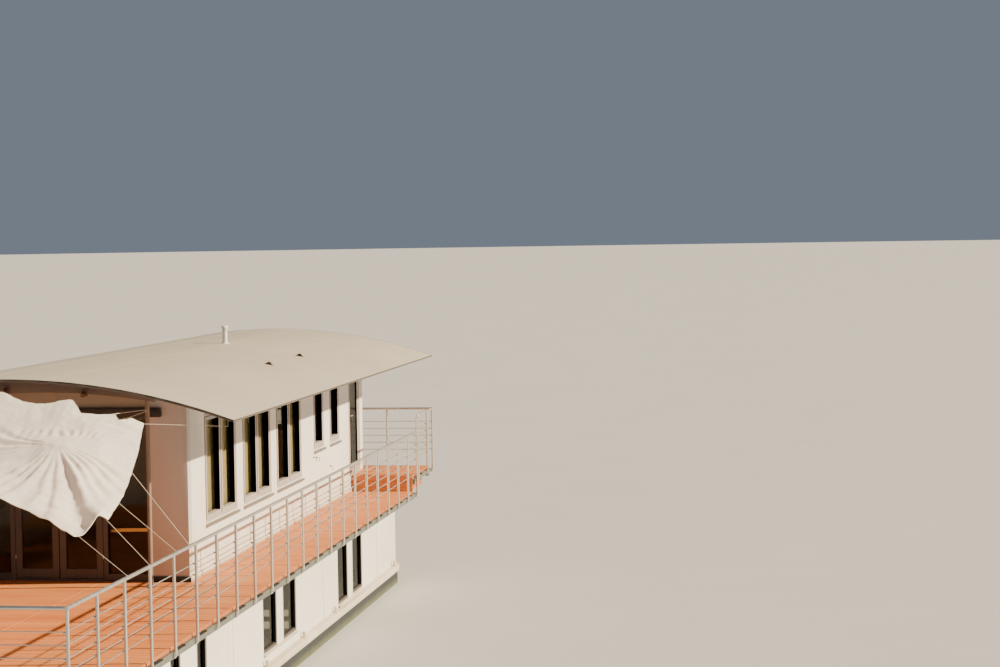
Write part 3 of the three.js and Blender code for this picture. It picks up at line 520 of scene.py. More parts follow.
# The bearing slab under the boards stops short of the boards' ends
SLAB_X = 2.8


def boards(bm, x, y, top, count):
    """Adds one framed panel: boards that run across the boat, side by side along Y."""
    pitch = (y[1] - y[0]) / count
    for i in range(count):
        low = y[0] + i * pitch
        block(bm, x, (low + BOARD_GAP / 2, low + pitch - BOARD_GAP / 2), (top - BOARD_THICK, top))


bm, screws = bmesh.new(), bmesh.new()
edges_x = [-DECK_X, -BESIDE_CABIN, -MIDDLE_PANEL, MIDDLE_PANEL, BESIDE_CABIN, DECK_X]
bay_ends = [DECK_NEAR] + [y for y in posts_y if DECK_NEAR + 0.3 < y < STEP_Y - 0.1] + [STEP_Y]
for low, high in zip(bay_ends, bay_ends[1:]):
    for left, right in zip(edges_x, edges_x[1:]):
        in_line = left > -BESIDE_CABIN - 0.01 and right < BESIDE_CABIN + 0.01
        if in_line and low > CABIN_NEAR:
            continue
        x = (left + PANEL_GAP / 2, right - PANEL_GAP / 2)
        y = (low + PANEL_GAP / 2, high - PANEL_GAP / 2)
        if in_line and high > CABIN_NEAR:
            y = (y[0], CABIN_NEAR - 0.004)
        count = max(1, round((y[1] - y[0]) * BOARDS_PER_BAY / BAY))
        boards(bm, x, y, DECK_TOP, count)
        for screw_x in (x[0] + 0.04, x[1] - 0.04):
            for i in range(count):
                upright(screws, screw_x, y[0] + (i + 0.5) * (y[1] - y[0]) / count, DECK_TOP - 0.002,
                        DECK_TOP + 0.0012, 0.006, 6)
soften(bm, 0.003, segments=1)
# Cabin floor and the bearing slab
block(bm, (-CABIN_X, CABIN_X), (CABIN_NEAR - 0.002, CABIN_FAR), (DECK_UNDER, DECK_TOP))
block(bm, (-SLAB_X, SLAB_X), (DECK_NEAR + DECK_X - SLAB_X, STEP_Y),
      (DECK_UNDER, DECK_TOP - BOARD_THICK + 0.001))
piece("deck_boards", bm, deck_wood, "deck", "deck_board")
# Edge joists behind the beams, softwood brushed with the hull's bitumen paint; their near-black also stands
# in as painted shade in the gap between the boards and the beam
bm = bmesh.new()
for side in (-1, 1):
    block(bm, span(side, SLAB_X + 0.002, SLAB_X + 0.02), (DECK_NEAR + 0.16, STEP_Y),
          (DECK_UNDER - 0.09, DECK_TOP - BOARD_THICK))
piece("edge_joists", bm, hull_paint, slot="hull_paint")
piece("deck_screws", screws, screw_steel)

# Boarding platform
# The same boards on a frame one step higher, with three riser boards one above the other at
# the step on each side of the cabin.
bm = bmesh.new()
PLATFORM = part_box("platform_deck")
PLATFORM_TOP = PLATFORM[1].z
slab_z = (PLATFORM[0].z, PLATFORM_TOP - BOARD_THICK + 0.001)
riser_y = (PLATFORM[0].y, PLATFORM[0].y + 0.02)
behind = (riser_y[1] + 0.003, CABIN_FAR)
for side in (-1, 1):
    x = span(side, CABIN_X + 0.006, DECK_X)
    boards(bm, x, behind, PLATFORM_TOP, 7)
    for i in range(3):
        z = DECK_TOP - 0.03 + i * 0.106
        block(bm, x, riser_y, (z, z + 0.101))
    block(bm, span(side, CABIN_X + 0.006, SLAB_X), behind, slab_z)
boards(bm, (-DECK_X, DECK_X), (CABIN_FAR + 0.008, PLATFORM[1].y), PLATFORM_TOP, 4)
block(bm, (-SLAB_X, SLAB_X), (CABIN_FAR + 0.008, PLATFORM[1].y - DECK_X + SLAB_X), slab_z)
soften(bm, 0.003, segments=1)
piece("platform_boards", bm, deck_wood, "platform_deck", "deck_board")

# Deck steel
# A steel angle round the deck's edge and bearers under its ends, hot-dip galvanised and gone
# dull, with a plate joined to the angle at each railing bay.
# Zinc coat, dipped: mid grey, mottled in spangles about 12 mm wide, drawn 30 mm to show
zinc = finish("hot_dip_galvanised_steel", "#8f9388", "#6f746c", 0.5, metallic=0.75, patch_mm=350,
              grain_mm=5, bump_mm=0.15)
tree = zinc.node_tree
place = add_node(tree, "TexCoord")
spangle = add_node(tree, "TexVoronoi", {"Scale": 1000 / 30, "feature": "F1"},
                   {"Vector": place.outputs["Object"]})
mask = add_node(tree, "MapRange", {"To Max": 0.35}, {"Value": spangle.outputs["Color"]})
overlay(zinc, mask.outputs["Result"], "#a9ada3")
streaks(zinc, "#6a5a45", 50, 0.62, 0.35)
for node in ("edge_beam_right", "edge_beam_left", "near_deck_frame", "far_deck_frame", "platform_frame"):
    dressed(node, node + "_steel", zinc, "galvanised_steel", 0.003, segments=1)

# Cabin walls
# Insulated panels, smooth and lacquered white, with painted shade (a grey taupe) on the wall behind
# the terrace under the roof, a beige board along the foot of the side walls and a black one along the near
# wall's.
# Fibre-cement panel, lacquered white, for the wall behind the terrace; its grey-taupe colour is painted
# shade under the roof's overhang
near_panel_painted_shade = finish("near_wall_fibre_cement_painted_shade", "#ccc9c6", "#bdb9b5", 0.45, patch_mm=1500, grain_mm=3,
                     bump_mm=0.08)
streaks(near_panel_painted_shade, "#948d85", 120, 0.58, 0.25, length=25)
# The near wall takes the lacquered panel with painted shade
for wall in WALLS:
    dressed(f"cabin_wall_{wall}", f"cabin_wall_{wall}_panel", near_panel_painted_shade if wall == "near" else panel_white,
            "white_panel", 0.004)
TERRACE_HALF = 1.3
foot_z = (DECK_TOP + 0.002, DECK_TOP + 0.075)
for name, paint, slot, x, y in (
        ("foot_boards", ledge_paint, "ledge_paint", (CABIN_X + 0.001, CABIN_X + 0.02),
         (CABIN_NEAR, STEP_Y)),
        ("near_foot_boards", hull_paint, "hull_paint", (TERRACE_HALF + 0.01, CABIN_X + 0.02),
         (CABIN_NEAR - 0.02, CABIN_NEAR - 0.001))):
    bm = bmesh.new()
    for side in (-1, 1):
        block(bm, span(side, *x), y, foot_z)
    soften(bm, 0.002)
    piece(name, bm, paint, slot=slot)
# Line hooks on the right wall, bent from 8 mm rod and painted black
hook_paint = finish("black_alkyd_on_rod", "#2d2b29", "#1d1b1a", 0.4, patch_mm=40, grain_mm=2, bump_mm=0.05)
HOOK_BENDS = ((0.004, 0), (0.05, -0.006), (0.052, -0.05), (0.03, -0.068))
bm = bmesh.new()
for y, z in ((5.36, 3.38), (5.56, 3.36), (6.56, 3.11)):
    bar(bm, (CABIN_X - 0.002, y, z), (CABIN_X + 0.006, y, z), 0.022, 16)
    for a, b in zip(HOOK_BENDS, HOOK_BENDS[1:]):
        bar(bm, (CABIN_X + a[0], y, z + a[1]), (CABIN_X + b[0], y, z + b[1]), 0.004, 8)
piece("wall_hooks", bm, hook_paint)

# Upper windows
# Large two-sash casements and small single ones, in painted wood with sealed panes, black
# seals, a sheet sill, and pale curtains drawn across behind the large ones.
UNIT_DEPTH, UNIT_BACK = 0.1, 0.012
PANE_BACK, PANE_FRONT, CURTAIN_Y = -0.08, -0.072, -0.116
OUTER, SASH, MULLION = 0.05, 0.052, 0.04
WINDOW_HEAD, SMALL_SILL = 4.65, 3.49
# Curtain cloth, woven polyester: thin, pale green-cream, lets light through
curtain_cloth = finish("woven_curtain", "#dccf9f", "#c6b884", 0.9, patch_mm=200, stretch=(1, 1, 0.1),
                       grain_mm=2, bump_mm=0.2)
curtain_cloth.node_tree.nodes["Principled BSDF"].inputs["Sheen Weight"].default_value = 0.3


def window(name, facing, origin, width, sill, sashes):
    """One window with its frame, sashes, panes, seals and sill, drawn facing +Y about x = 0."""
    frames, panes, seals, sills = [bmesh.new() for _ in range(4)]
    half = width / 2 - 0.001
    ring(frames, (-half, half), (sill, WINDOW_HEAD), (-UNIT_DEPTH, 0), OUTER)
    inner = half - OUTER
    bays = [(-inner, inner)]
    if sashes == 2:
        block(frames, (-MULLION / 2, MULLION / 2), (PANE_BACK, 0), (sill + OUTER, WINDOW_HEAD - OUTER))
        bays = [(-inner, -MULLION / 2), (MULLION / 2, inner)]
    for low, high in bays:
        x, z = (low + 0.003, high - 0.003), (sill + OUTER + 0.003, WINDOW_HEAD - OUTER - 0.003)
        ring(frames, x, z, (PANE_BACK - 0.001, 0.01), SASH)
        glaze(panes, seals, (x[0] + SASH, x[1] - SASH), (z[0] + SASH, z[1] - SASH), (PANE_BACK, PANE_FRONT),
              0.012, 0.003, 0.006)
    soften(frames, 0.004)
    sheet_sill(sills, half + 0.02, -0.02, 0.05, (sill - 0.012, sill - 0.004), 0.01,
               (sill - 0.045, sill - 0.014))
    turned(facing, origin, frames, panes, seals, sills)
    joinery(f"casement_{name}", frames, frame_paint, f"window_{name}")
    piece(f"glass_{name}", panes, glass)
    piece(f"seals_{name}", seals, rubber_seal)
    piece(f"sill_{name}", sills, anodised)


def curtain(name, facing, origin, x, z, pleat=0.085, deep=0.01):
    """A pleated curtain that hangs inside a window, drawn facing +Y."""
    bm = bmesh.new()
    wide, tall = x[1] - x[0], z[1] - z[0]
    bmesh.ops.create_grid(bm, x_segments=round(wide / pleat * 8), y_segments=12, size=0.5,
                          matrix=Matrix.Rotation(math.pi / 2, 4, "X"))
    for v in bm.verts:
        along, down = (v.co.x + 0.5) * wide, 0.5 - v.co.z
        sway = noise.noise(Vector((along * 3, origin[1], down))) * 0.6
        wave = math.sin(along / pleat * 2 * math.pi + sway)
        v.co = Vector((x[0] + along, CURTAIN_Y + deep * (0.55 + 0.45 * down) * wave,
                       z[0] + (v.co.z + 0.5) * tall))
    row = sorted((v.co.copy() for v in bm.verts if abs(v.co.z - z[0] - tall / 2) < 0.02), key=lambda p: p.x)
    flat_width = sum((b - a).length for a, b in zip(row, row[1:]))
    turned(facing, origin, bm)
    made = piece(name, bm, curtain_cloth, crease=180)
    thicken(made, 0.002)


def thicken(made, thickness):
    """Gives a sheet its thickness, half of it on each side."""
    solid = made.modifiers.new("thickness", "SOLIDIFY")
    solid.thickness = thickness
    solid.offset = 0


# Name, start along the boat, width, sill height, sashes
UPPER = [
    ("large_1", -1.1, 1.64, 3.143, 2),
    ("large_2", 0.89, 1.64, 3.143, 2),
    ("large_3", 2.88, 1.64, 3.143, 2),
    ("small_1", 5.4, 0.74, SMALL_SILL, 1),
    ("small_2", 6.6, 0.74, SMALL_SILL, 1),
]
for side_name, side in SIDES:
    for name, start, width, sill, sashes in UPPER:
        if side < 0 and sashes == 1:
            continue
        origin = (side * (CABIN_X - UNIT_BACK), start + width / 2, 0)
        window(f"{side_name}_{name}", FACING[side], origin, width, sill, sashes)
        if sashes == 2:
            for end, letter in ((-1, "a"), (1, "b")):
                # One curtain in the third window stands half open
                start_at = 0.5 if name == "large_3" and end * side > 0 else 0.01
                curtain(f"curtain_{side_name}_{name}_{letter}", FACING[side], origin,
                        span(end, start_at, 0.9),
                        (sill + OUTER + 0.008, WINDOW_HEAD - OUTER - 0.008))
window("far", TO_FAR, (0, CABIN_FAR - UNIT_BACK, 0), 1.64, SMALL_SILL, 2)

# Side doors
# Glazed doors in painted wood near the boarding platform, one on each side, hinged at their
# far edge, with a lever handle on each face and three lift-off hinges.
# Stainless steel, brushed
brushed_steel = finish("brushed_stainless_steel", "#dfdad2", "#c6c1b8", 0.46, metallic=1.0, patch_mm=120,
                       stretch=(1, 1, 0.2), grain_mm=1, bump_mm=0.03)
LEAF_GAP, LEAF_THICK, LEAF_MEMBER, LEAF_FOOT = 0.006, 0.06, 0.09, 0.126
JAMB, DOOR_SILL, FRAME_DEPTH = 0.066, 0.03, 0.1
HANDLE_HEIGHT, HANDLE_INSET, HANDLE_OUT, LEVER, LEVER_RADIUS = 1.02, 0.045, 0.036, 0.12, 0.009
BARREL_RADIUS, BARREL_TALL = 0.005, 0.05


def door_leaf(name, facing, origin, x, z, hinge_end, paint):
    """One glazed leaf with its seals, lever handles and hinges, drawn facing +Y."""
    frames, panes, seals, metal = [bmesh.new() for _ in range(4)]
    y = (-LEAF_THICK, 0)
    inner_x = (x[0] + LEAF_MEMBER, x[1] - LEAF_MEMBER)
    inner_z = (z[0] + LEAF_FOOT, z[1] - LEAF_MEMBER)
    block(frames, (x[0], inner_x[0]), y, z)
    block(frames, (inner_x[1], x[1]), y, z)
    block(frames, inner_x, y, (z[0], inner_z[0]))
    block(frames, inner_x, y, (inner_z[1], z[1]))
    soften(frames, 0.004)
    glaze(panes, seals, inner_x, inner_z, mid_pane(LEAF_THICK), 0.012, 0.008, 0.008)
    free, pivot = (x[0], x[1]) if hinge_end > 0 else (x[1], x[0])
    hx, hz = free + hinge_end * HANDLE_INSET, z[0] + HANDLE_HEIGHT
    for outward, face in ((1, 0), (-1, -LEAF_THICK)):
        block(metal, (hx - 0.018, hx + 0.018), sorted((face, face + outward * 0.004)),
              (hz - 0.14, hz + 0.06))
        out = face + outward * HANDLE_OUT
        bar(metal, (hx, face, hz), (hx, out, hz), LEVER_RADIUS)
        bar(metal, (hx - hinge_end * 0.006, out, hz), (hx + hinge_end * LEVER, out, hz), LEVER_RADIUS)
    for share in (0.12, 0.5, 0.88):
        at = z[0] + share * (z[1] - z[0])
        upright(metal, pivot, 0, at + 0.002, at + BARREL_TALL, BARREL_RADIUS)
    turned(facing, origin, frames, panes, seals, metal)
    kind, side_name = name.split("_")
    body = f"{kind}_door_leaf_{side_name}"
    joinery(f"leaf_{name}", frames, paint, f"{kind}_door_{side_name}", body)
    piece(f"glass_{name}", panes, glass, body=body)
    piece(f"seals_{name}", seals, rubber_seal, body=body)
    piece(f"handle_{name}", metal, brushed_steel, slot="stainless_steel", body=body)


DOOR_MIDDLE, HALF_DOOR = 8.58, 0.47
DOOR_BOTTOM, DOOR_HEAD = PLATFORM_TOP + 0.01, 4.83
FRAME_Y = (-FRAME_DEPTH, 0)
for side_name, side in SIDES:
    origin = (side * (CABIN_X - UNIT_BACK), DOOR_MIDDLE, 0)
    frames = bmesh.new()
    clear_x = (-HALF_DOOR + JAMB, HALF_DOOR - JAMB)
    for end in (-1, 1):
        block(frames, span(end, HALF_DOOR - 0.001, HALF_DOOR - JAMB), FRAME_Y,
              (DOOR_BOTTOM + 0.001, DOOR_HEAD - 0.001))
    block(frames, clear_x, FRAME_Y, (DOOR_HEAD - JAMB, DOOR_HEAD - 0.001))
    block(frames, clear_x, FRAME_Y, (DOOR_BOTTOM + 0.001, DOOR_BOTTOM + DOOR_SILL))
    soften(frames, 0.004)
    turned(FACING[side], origin, frames)
    joinery(f"door_frame_{side_name}", frames, frame_paint, f"side_door_frame_{side_name}")
    reach = HALF_DOOR - JAMB - LEAF_GAP
    door_leaf(f"side_{side_name}", FACING[side], origin, (-reach, reach),
              (DOOR_BOTTOM + DOOR_SILL + LEAF_GAP, DOOR_HEAD - JAMB - LEAF_GAP), -side, frame_paint)

# Terrace front
# Two fixed side lights and a pair of glazed leaves under one head, with a dark blind box
# above them, all set in the near wall.
TERRACE_TOP, CLEAR = 4.745, 0.617
TERRACE_HEAD, LIGHT_FOOT = TERRACE_TOP - JAMB, DECK_TOP + 0.1
origin = (0, CABIN_NEAR + UNIT_BACK, 0)
frames, panes, seals = [bmesh.new() for _ in range(3)]
for end in (-1, 1):
    block(frames, span(end, TERRACE_HALF - 0.001, TERRACE_HALF - JAMB), FRAME_Y,
          (DECK_TOP + 0.001, TERRACE_TOP))
    block(frames, span(end, CLEAR, CLEAR + JAMB), FRAME_Y, (DECK_TOP + 0.001, TERRACE_HEAD))
    bay = span(end, CLEAR + JAMB, TERRACE_HALF - JAMB)
    block(frames, bay, FRAME_Y, (DECK_TOP + 0.001, LIGHT_FOOT))
    glaze(panes, seals, bay, (LIGHT_FOOT, TERRACE_HEAD), mid_pane(FRAME_DEPTH), 0.01, 0.008, 0.008)
block(frames, (-TERRACE_HALF + JAMB, TERRACE_HALF - JAMB), FRAME_Y, (TERRACE_HEAD, TERRACE_TOP))
block(frames, (-CLEAR, CLEAR), FRAME_Y, (DECK_TOP + 0.001, DECK_TOP + DOOR_SILL))
soften(frames, 0.004)
turned(TO_NEAR, origin, frames, panes, seals)
joinery("terrace_lights", frames, dark_frame_paint, "terrace_frame")
piece("terrace_light_glass", panes, glass)
piece("terrace_light_seals", seals, rubber_seal)
# Blind box over the doors, folded sheet lacquered black-brown, and above it a thin panel whose grey-tan is
# painted shade of the wall under the roof
box_lacquer = finish("dark_lacquered_aluminium", "#37322d", "#292521", 0.4, patch_mm=300, grain_mm=2,
                     bump_mm=0.04)
BOX_HALF, BOX_DEEP, BOX_Z = 1.47, 0.075, (4.68, 4.8)
bm = bmesh.new()
block(bm, (-BOX_HALF, BOX_HALF), (CABIN_NEAR - BOX_DEEP, CABIN_NEAR - 0.001), BOX_Z)
soften(bm, 0.006)
piece("blind_box", bm, box_lacquer)
# Thin board, grey-tan: painted shade of the white wall under the roof, with a grain across the boat
gable_board_painted_shade = finish("gable_board_with_painted_shade", "#b0a898", "#9b9283", 0.45, patch_mm=200,
                 stretch=(0.15, 1, 1.6), grain_mm=1.5, bump_mm=0.1)
bm = bmesh.new()
for x in ((-TERRACE_HALF, -0.003), (0.003, TERRACE_HALF)):
    block(bm, x, (CABIN_NEAR - 0.01, CABIN_NEAR - 0.001), (BOX_Z[1] + 0.002, 5.17))
soften(bm, 0.002)
piece("gable_shade_panels", bm, gable_board_painted_shade)
for side_name, side in SIDES:
    door_leaf(f"terrace_{side_name}", TO_NEAR, origin, span(-side, LEAF_GAP, CLEAR - LEAF_GAP),
              (DECK_TOP + DOOR_SILL + LEAF_GAP, TERRACE_HEAD - LEAF_GAP), -side, dark_frame_paint)

# Roof
# One thin barrel: a welded roofing skin on a dark timber panel that ends short of it, a few
# lapped seams along it, and a thin folded drip edge all round.
ROOF_RADIUS, ROOF_APEX, ROOF_THICK = 8.91, 5.32, 0.04
SKIN, DRIP, DRIP_TOP, PANEL_INSET = 0.01, 0.022, 0.002, 0.06
ROOF_CENTRE = ROOF_APEX - ROOF_RADIUS
ROOF_HALF, ROOF_NEAR, ROOF_FAR = 3.0, -3.9, 10.0
SEAM_X = (-2.35, -1.4, -0.45, 0.5, 1.45, 2.4)


def arc(bm, inner, outer, half, y):
    """Spins a rectangle between two radii about the roof's axis, from -half to half in X."""
    reach = math.asin(half / ROOF_RADIUS)
    corners = [(y[0], inner), (y[1], inner), (y[1], outer), (y[0], outer)]
    verts = [bm.verts.new((r * math.sin(-reach), y_at, ROOF_CENTRE + r * math.cos(-reach)))
             for y_at, r in corners]
    bmesh.ops.spin(bm, geom=[bm.faces.new(verts)], cent=(0, 0, ROOF_CENTRE), axis=(0, 1, 0),
                   angle=2 * reach, steps=48, use_merge=False, use_duplicate=False)
    bmesh.ops.recalc_face_normals(bm, faces=bm.faces)


def on_roof(x, y=0):
    """Places what was drawn upright over the roof's axis at x on the roof."""
    return Matrix.Translation((0, y, ROOF_CENTRE)) @ Matrix.Rotation(math.asin(x / ROOF_RADIUS), 4, "Y")


# Roofing skin, welded sheet with fine mineral: light warm grey, dull, dusty
roof_skin = finish("mineral_roofing_skin", "#b8b19f", "#aaa392", 0.7, patch_mm=1400, stretch=(1, 0.45, 1),
                   grain_mm=5, bump_mm=0.4)
tree = roof_skin.node_tree
place = add_node(tree, "TexCoord")
specks = add_node(tree, "TexNoise", {"Scale": 22, "Detail": 2}, {"Vector": place.outputs["Object"]})
mask = add_node(tree, "MapRange", {"From Min": 0.74, "From Max": 0.8, "To Max": 0.3},
                {"Value": specks.outputs["Fac"]})
overlay(roof_skin, mask.outputs["Result"], "#9a927e")
bm = bmesh.new()
arc(bm, ROOF_RADIUS - SKIN, ROOF_RADIUS, ROOF_HALF - 0.004, (ROOF_NEAR + 0.004, ROOF_FAR - 0.004))
for x in SEAM_X:
    strip = block(bm, (-0.03, 0.03), (ROOF_NEAR + 0.01, ROOF_FAR - 0.01),
                  (ROOF_RADIUS - 0.001, ROOF_RADIUS + 0.0012))
    bmesh.ops.transform(bm, matrix=on_roof(x), verts=strip)
piece("roof_skin", bm, roof_skin, "roof_sheet", "roof_sheet")
# Drip edge, folded from sheet steel and painted dark brown, 8 mm wide on top; its dark brown also stands in
# as painted shade for the thin shadow line along the roof's edges
dark_paint_and_shade = finish("dark_sheet_steel_and_painted_shade", "#6a5f54", "#574d43", 0.5, patch_mm=300, grain_mm=3,
                    bump_mm=0.05)
bm = bmesh.new()
drip_r, top_r = (ROOF_RADIUS - DRIP, ROOF_RADIUS + DRIP_TOP), (ROOF_RADIUS + 0.0001, ROOF_RADIUS + DRIP_TOP)
for wide, radii in ((0.003, drip_r), (0.008, top_r)):
    for y in ((ROOF_NEAR, ROOF_NEAR + wide), (ROOF_FAR - wide, ROOF_FAR)):
        arc(bm, *radii, ROOF_HALF, y)
for side in (-1, 1):
    for wide, radii in ((0.008, top_r), (0.003, drip_r)):
        edge = block(bm, span(side, 0, -wide), (ROOF_NEAR, ROOF_FAR), radii)
        bmesh.ops.transform(bm, matrix=on_roof(side * ROOF_HALF), verts=edge)
piece("roof_drip_edge", bm, dark_paint_and_shade, slot="roof_sheet")
# Glued timber, stained: dark brown, with laminations 33 mm thick
stained_timber = finish("stained_glued_timber", "#7b7a78", "#5d5b59", 0.55, patch_mm=220,
                        stretch=(0.2, 1, 1), grain_mm=2, bump_mm=0.3)
bm = bmesh.new()
arc(bm, ROOF_RADIUS - ROOF_THICK, ROOF_RADIUS - SKIN - 0.0003, ROOF_HALF - PANEL_INSET,
    (ROOF_NEAR + PANEL_INSET, ROOF_FAR - PANEL_INSET))
# Hooks under the near corners, bent from rod, for the sail's corner lines
for side in (-1, 1):
    upright(bm, side * HOOK_X, HOOK_Y, 4.81, 4.716, 0.005, 10)
    bar(bm, (side * HOOK_X, HOOK_Y, 4.716), (side * (HOOK_X - 0.035), HOOK_Y, 4.7), 0.005, 10)
piece("roof_panel", bm, stained_timber, slot="timber")

# Gable beam and its posts
# An arched glued-timber beam, stained dark, bolted under the roof, on two slim steel posts
# painted brown-grey with a foot plate each.
BEAM_Y, POST_X, POST_RADIUS = -2.3, 1.39, 0.03
dressed("gable_beam", "arched_beam", stained_timber, "timber", 0.006)
# Two small lamp brackets on the beam's near face, pressed steel with a tilted shade
bm = bmesh.new()
y = BEAM_Y - 0.05
for x, z in ((-0.51, 5.09), (0.56, 5.04)):
    block(bm, (x - 0.04, x + 0.04), (y - 0.006, y - 0.0005), (z - 0.05, z + 0.05))
    bar(bm, (x, y - 0.004, z), (x, y - 0.05, z - 0.01), 0.01)
    bar(bm, (x, y - 0.036, z), (x, y - 0.085, z - 0.04), 0.02, 16, 0.034)
soften(bm, 0.002)
piece("beam_lamps", bm, dark_paint_and_shade)
# Alkyd paint, brushed on steel tube: brown-grey like the wall behind it
post_paint = finish("brown_alkyd_on_steel", "#8f8071", "#7a6b5e", 0.5, patch_mm=200, grain_mm=3,
                    bump_mm=0.1)
PLATE_HALF, PLATE_THICK, BOLT_OUT = 0.075, 0.011, 0.052
for side_name, side in SIDES:
    bm = bmesh.new()
    low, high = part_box(f"gable_post_{side_name}")
    x, base = side * POST_X, low.z + 0.01
    upright(bm, x, BEAM_Y, base, high.z, POST_RADIUS, 24)
    upright(bm, x, BEAM_Y, base, low.z + 0.05, POST_RADIUS + 0.012, 24, POST_RADIUS)
    block(bm, (x - PLATE_HALF, x + PLATE_HALF), (BEAM_Y - PLATE_HALF, BEAM_Y + PLATE_HALF),
          (low.z, low.z + PLATE_THICK))
    for dx in (-BOLT_OUT, BOLT_OUT):
        for dy in (-BOLT_OUT, BOLT_OUT):
            upright(bm, x + dx, BEAM_Y + dy, base, low.z + 0.022, 0.011, 6)
    piece(f"gable_post_tube_{side_name}", bm, post_paint, f"gable_post_{side_name}", "stainless_steel")

# Roof fittings
# A plastic vent pipe with a collar and rain cap, and two low steel lifting eyes that stand
# across the boat, each a lug with a hole on a small welded plate.
low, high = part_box("vent_pipe")
PIPE_RADIUS = 0.04
bm = bmesh.new()
for start, end, radius, end_radius in (
        (low.z - 0.02, high.z - 0.02, 1, 1), (low.z - 0.02, low.z + 0.03, 2.2, 1.1),
        (high.z - 0.05, high.z - 0.044, 1.25, 1.25), (high.z - 0.066, high.z - 0.06, 1.25, 1.25),
        (high.z - 0.082, high.z - 0.076, 1.25, 1.25), (high.z - 0.03, high.z - 0.004, 1.35, 1.35),
        (high.z - 0.004, high.z, 1.35, 1.2)):
    upright(bm, 0.46, 4.9, start, end, PIPE_RADIUS * radius, 24, PIPE_RADIUS * end_radius)
piece("vent_stack", bm, panel_white, "vent_pipe", "white_panel")
# Weathered zinc coat, gone brown with rust at the welds
rusty_zinc = finish("weathered_galvanised_steel", "#6f5e4f", "#483b31", 0.65, metallic=0.3, patch_mm=60,
                    grain_mm=3, bump_mm=0.3)
for name, x, y in (("roof_eye_1", 1.89, 2.19), ("roof_eye_2", 1.86, 4.28)):
    bm = bmesh.new()
    block(bm, (-0.062, 0.062), (-0.026, 0.026), (0, 0.01))
    lug = bmesh.ops.create_cone(bm, cap_ends=True, segments=32, radius1=0.044, radius2=0.044, depth=0.014,
                                matrix=Matrix.Rotation(math.pi / 2, 4, "X"))["verts"]
    rim = {e for v in lug for e in v.link_edges}
    cheeks = {f for v in lug for f in v.link_faces}
    bmesh.ops.bisect_plane(bm, geom=[*lug, *rim, *cheeks], plane_co=(0, 0, 0.002), plane_no=(0, 0, -1),
                           clear_outer=True)
    bmesh.ops.holes_fill(bm, edges=[e for e in bm.edges if e.is_boundary], sides=0)
    bar(bm, (0, -0.01, 0.022), (0, 0.01, 0.022), 0.016, 20)
    soften(bm, 0.002)
    bmesh.ops.transform(bm, matrix=on_roof(x, y) @ Matrix.Translation((0, 0, ROOF_RADIUS + 0.0005)),
                        verts=bm.verts)
    piece(name + "_lug", bm, rusty_zinc, name, "galvanised_steel")

# Railings
# Stainless tube posts clamped outside the edge beam, a round top rail, and five thin rods that
# run through holders on the posts. A second, higher stretch guards the boarding platform.
TUBE, POST_TUBE, POST_FOOT, ROD = 0.021, 0.018, 0.04, 0.006
CLAMP_HALF, BOLT, HOLDER = 0.028, 0.006, 0.0115
RAIL_X, RAIL_Y, RAIL_Z, RAISED_Z = 2.979, 9.979, 3.524, 3.812
RAISED_POSTS = (8.53, 9.439, RAIL_Y)
END_POSTS = (-2.13, -1.278, -0.426, 0.426, 1.278, 2.13)
ROD_HEIGHTS = (0.298, 0.428, 0.558, 0.688, 0.818)
BEAM_BOTTOM, RAISE = 2.35, 0.288
RAISED_BOTTOM = BEAM_BOTTOM + RAISE


def elbow(bm, points):
    """Adds one bent rail tube through the points, with a ball at each bend."""
    for start, end in zip(points, points[1:]):
        bar(bm, start, end, TUBE, 16)
    for middle in points[1:-1]:
        bmesh.ops.create_uvsphere(bm, u_segments=16, v_segments=8, radius=TUBE,
                                  matrix=Matrix.Translation(middle))


def post(bm, x, y, bottom, top, inward, floor=None):
    """One post with its foot sleeve, plug, beam clamp and bolts, and holders for the rods."""
    foot = bottom + POST_FOOT
    upright(bm, x, y, foot + 0.008, top, POST_TUBE, 20)
    upright(bm, x, y, foot + 0.003, foot + 0.07, TUBE, 20)
    upright(bm, x, y, foot, foot + 0.005, TUBE * 0.85, 20)
    inside, centre = Vector(inward), Vector((x, y, 0))
    along = Vector((abs(inside.y), abs(inside.x), 0)) * CLAMP_HALF
    corner_a = centre - along + inside * 0.0217 + Vector((0, 0, bottom + 0.006))
    corner_b = centre + along + Vector((0, 0, bottom + 0.079))
    clamp = block(bm, *(sorted(pair) for pair in zip(corner_a, corner_b)))
    bevel(bm, list({e for v in clamp for e in v.link_edges}), 0.003)
    for dz in (0.024, 0.06):
        for end in (-1, 1):
            low = centre + along * (end * 0.9) + inside * 0.006 + Vector((0, 0, bottom + dz))
            bar(bm, low, low + along * (end * 0.35), BOLT, 6)
    for height in ROD_HEIGHTS if floor else ():
        low = Vector((x, y, floor + height)) + inside * (POST_TUBE - 0.002)
        tip = low + inside * 0.018
        bar(bm, low, tip, HOLDER, 10)
        bmesh.ops.create_uvsphere(bm, u_segments=10, v_segments=6, radius=HOLDER,
                                  matrix=Matrix.Translation(tip))


for side_name, side in SIDES:
    bm = bmesh.new()
    x, inward = side * RAIL_X, (-side, 0, 0)
    for y in posts_y[:-1]:
        post(bm, x, y, BEAM_BOTTOM, RAIL_Z - 0.01, inward, DECK_TOP)
    post(bm, x, posts_y[-1], BEAM_BOTTOM, RAISED_Z - 0.03, inward, DECK_TOP)
    elbow(bm, [(x, -RAIL_Y - TUBE, RAIL_Z), (x, RAISED_POSTS[0], RAIL_Z)])
    post(bm, x, RAISED_POSTS[0], RAISED_BOTTOM, RAISED_Z if side > 0 else RAIL_Z, inward)
    if side > 0:
        elbow(bm, [(x, RAISED_POSTS[0], RAISED_Z - 0.02), (x, RAISED_POSTS[0], RAISED_Z),
                   (x, RAIL_Y, RAISED_Z)])
        for y in RAISED_POSTS[1:]:
            post(bm, x, y, RAISED_BOTTOM, RAISED_Z - 0.01, inward, PLATFORM_TOP)
    piece(f"handrail_{side_name}", bm, brushed_steel, f"railing_{side_name}", "stainless_steel")
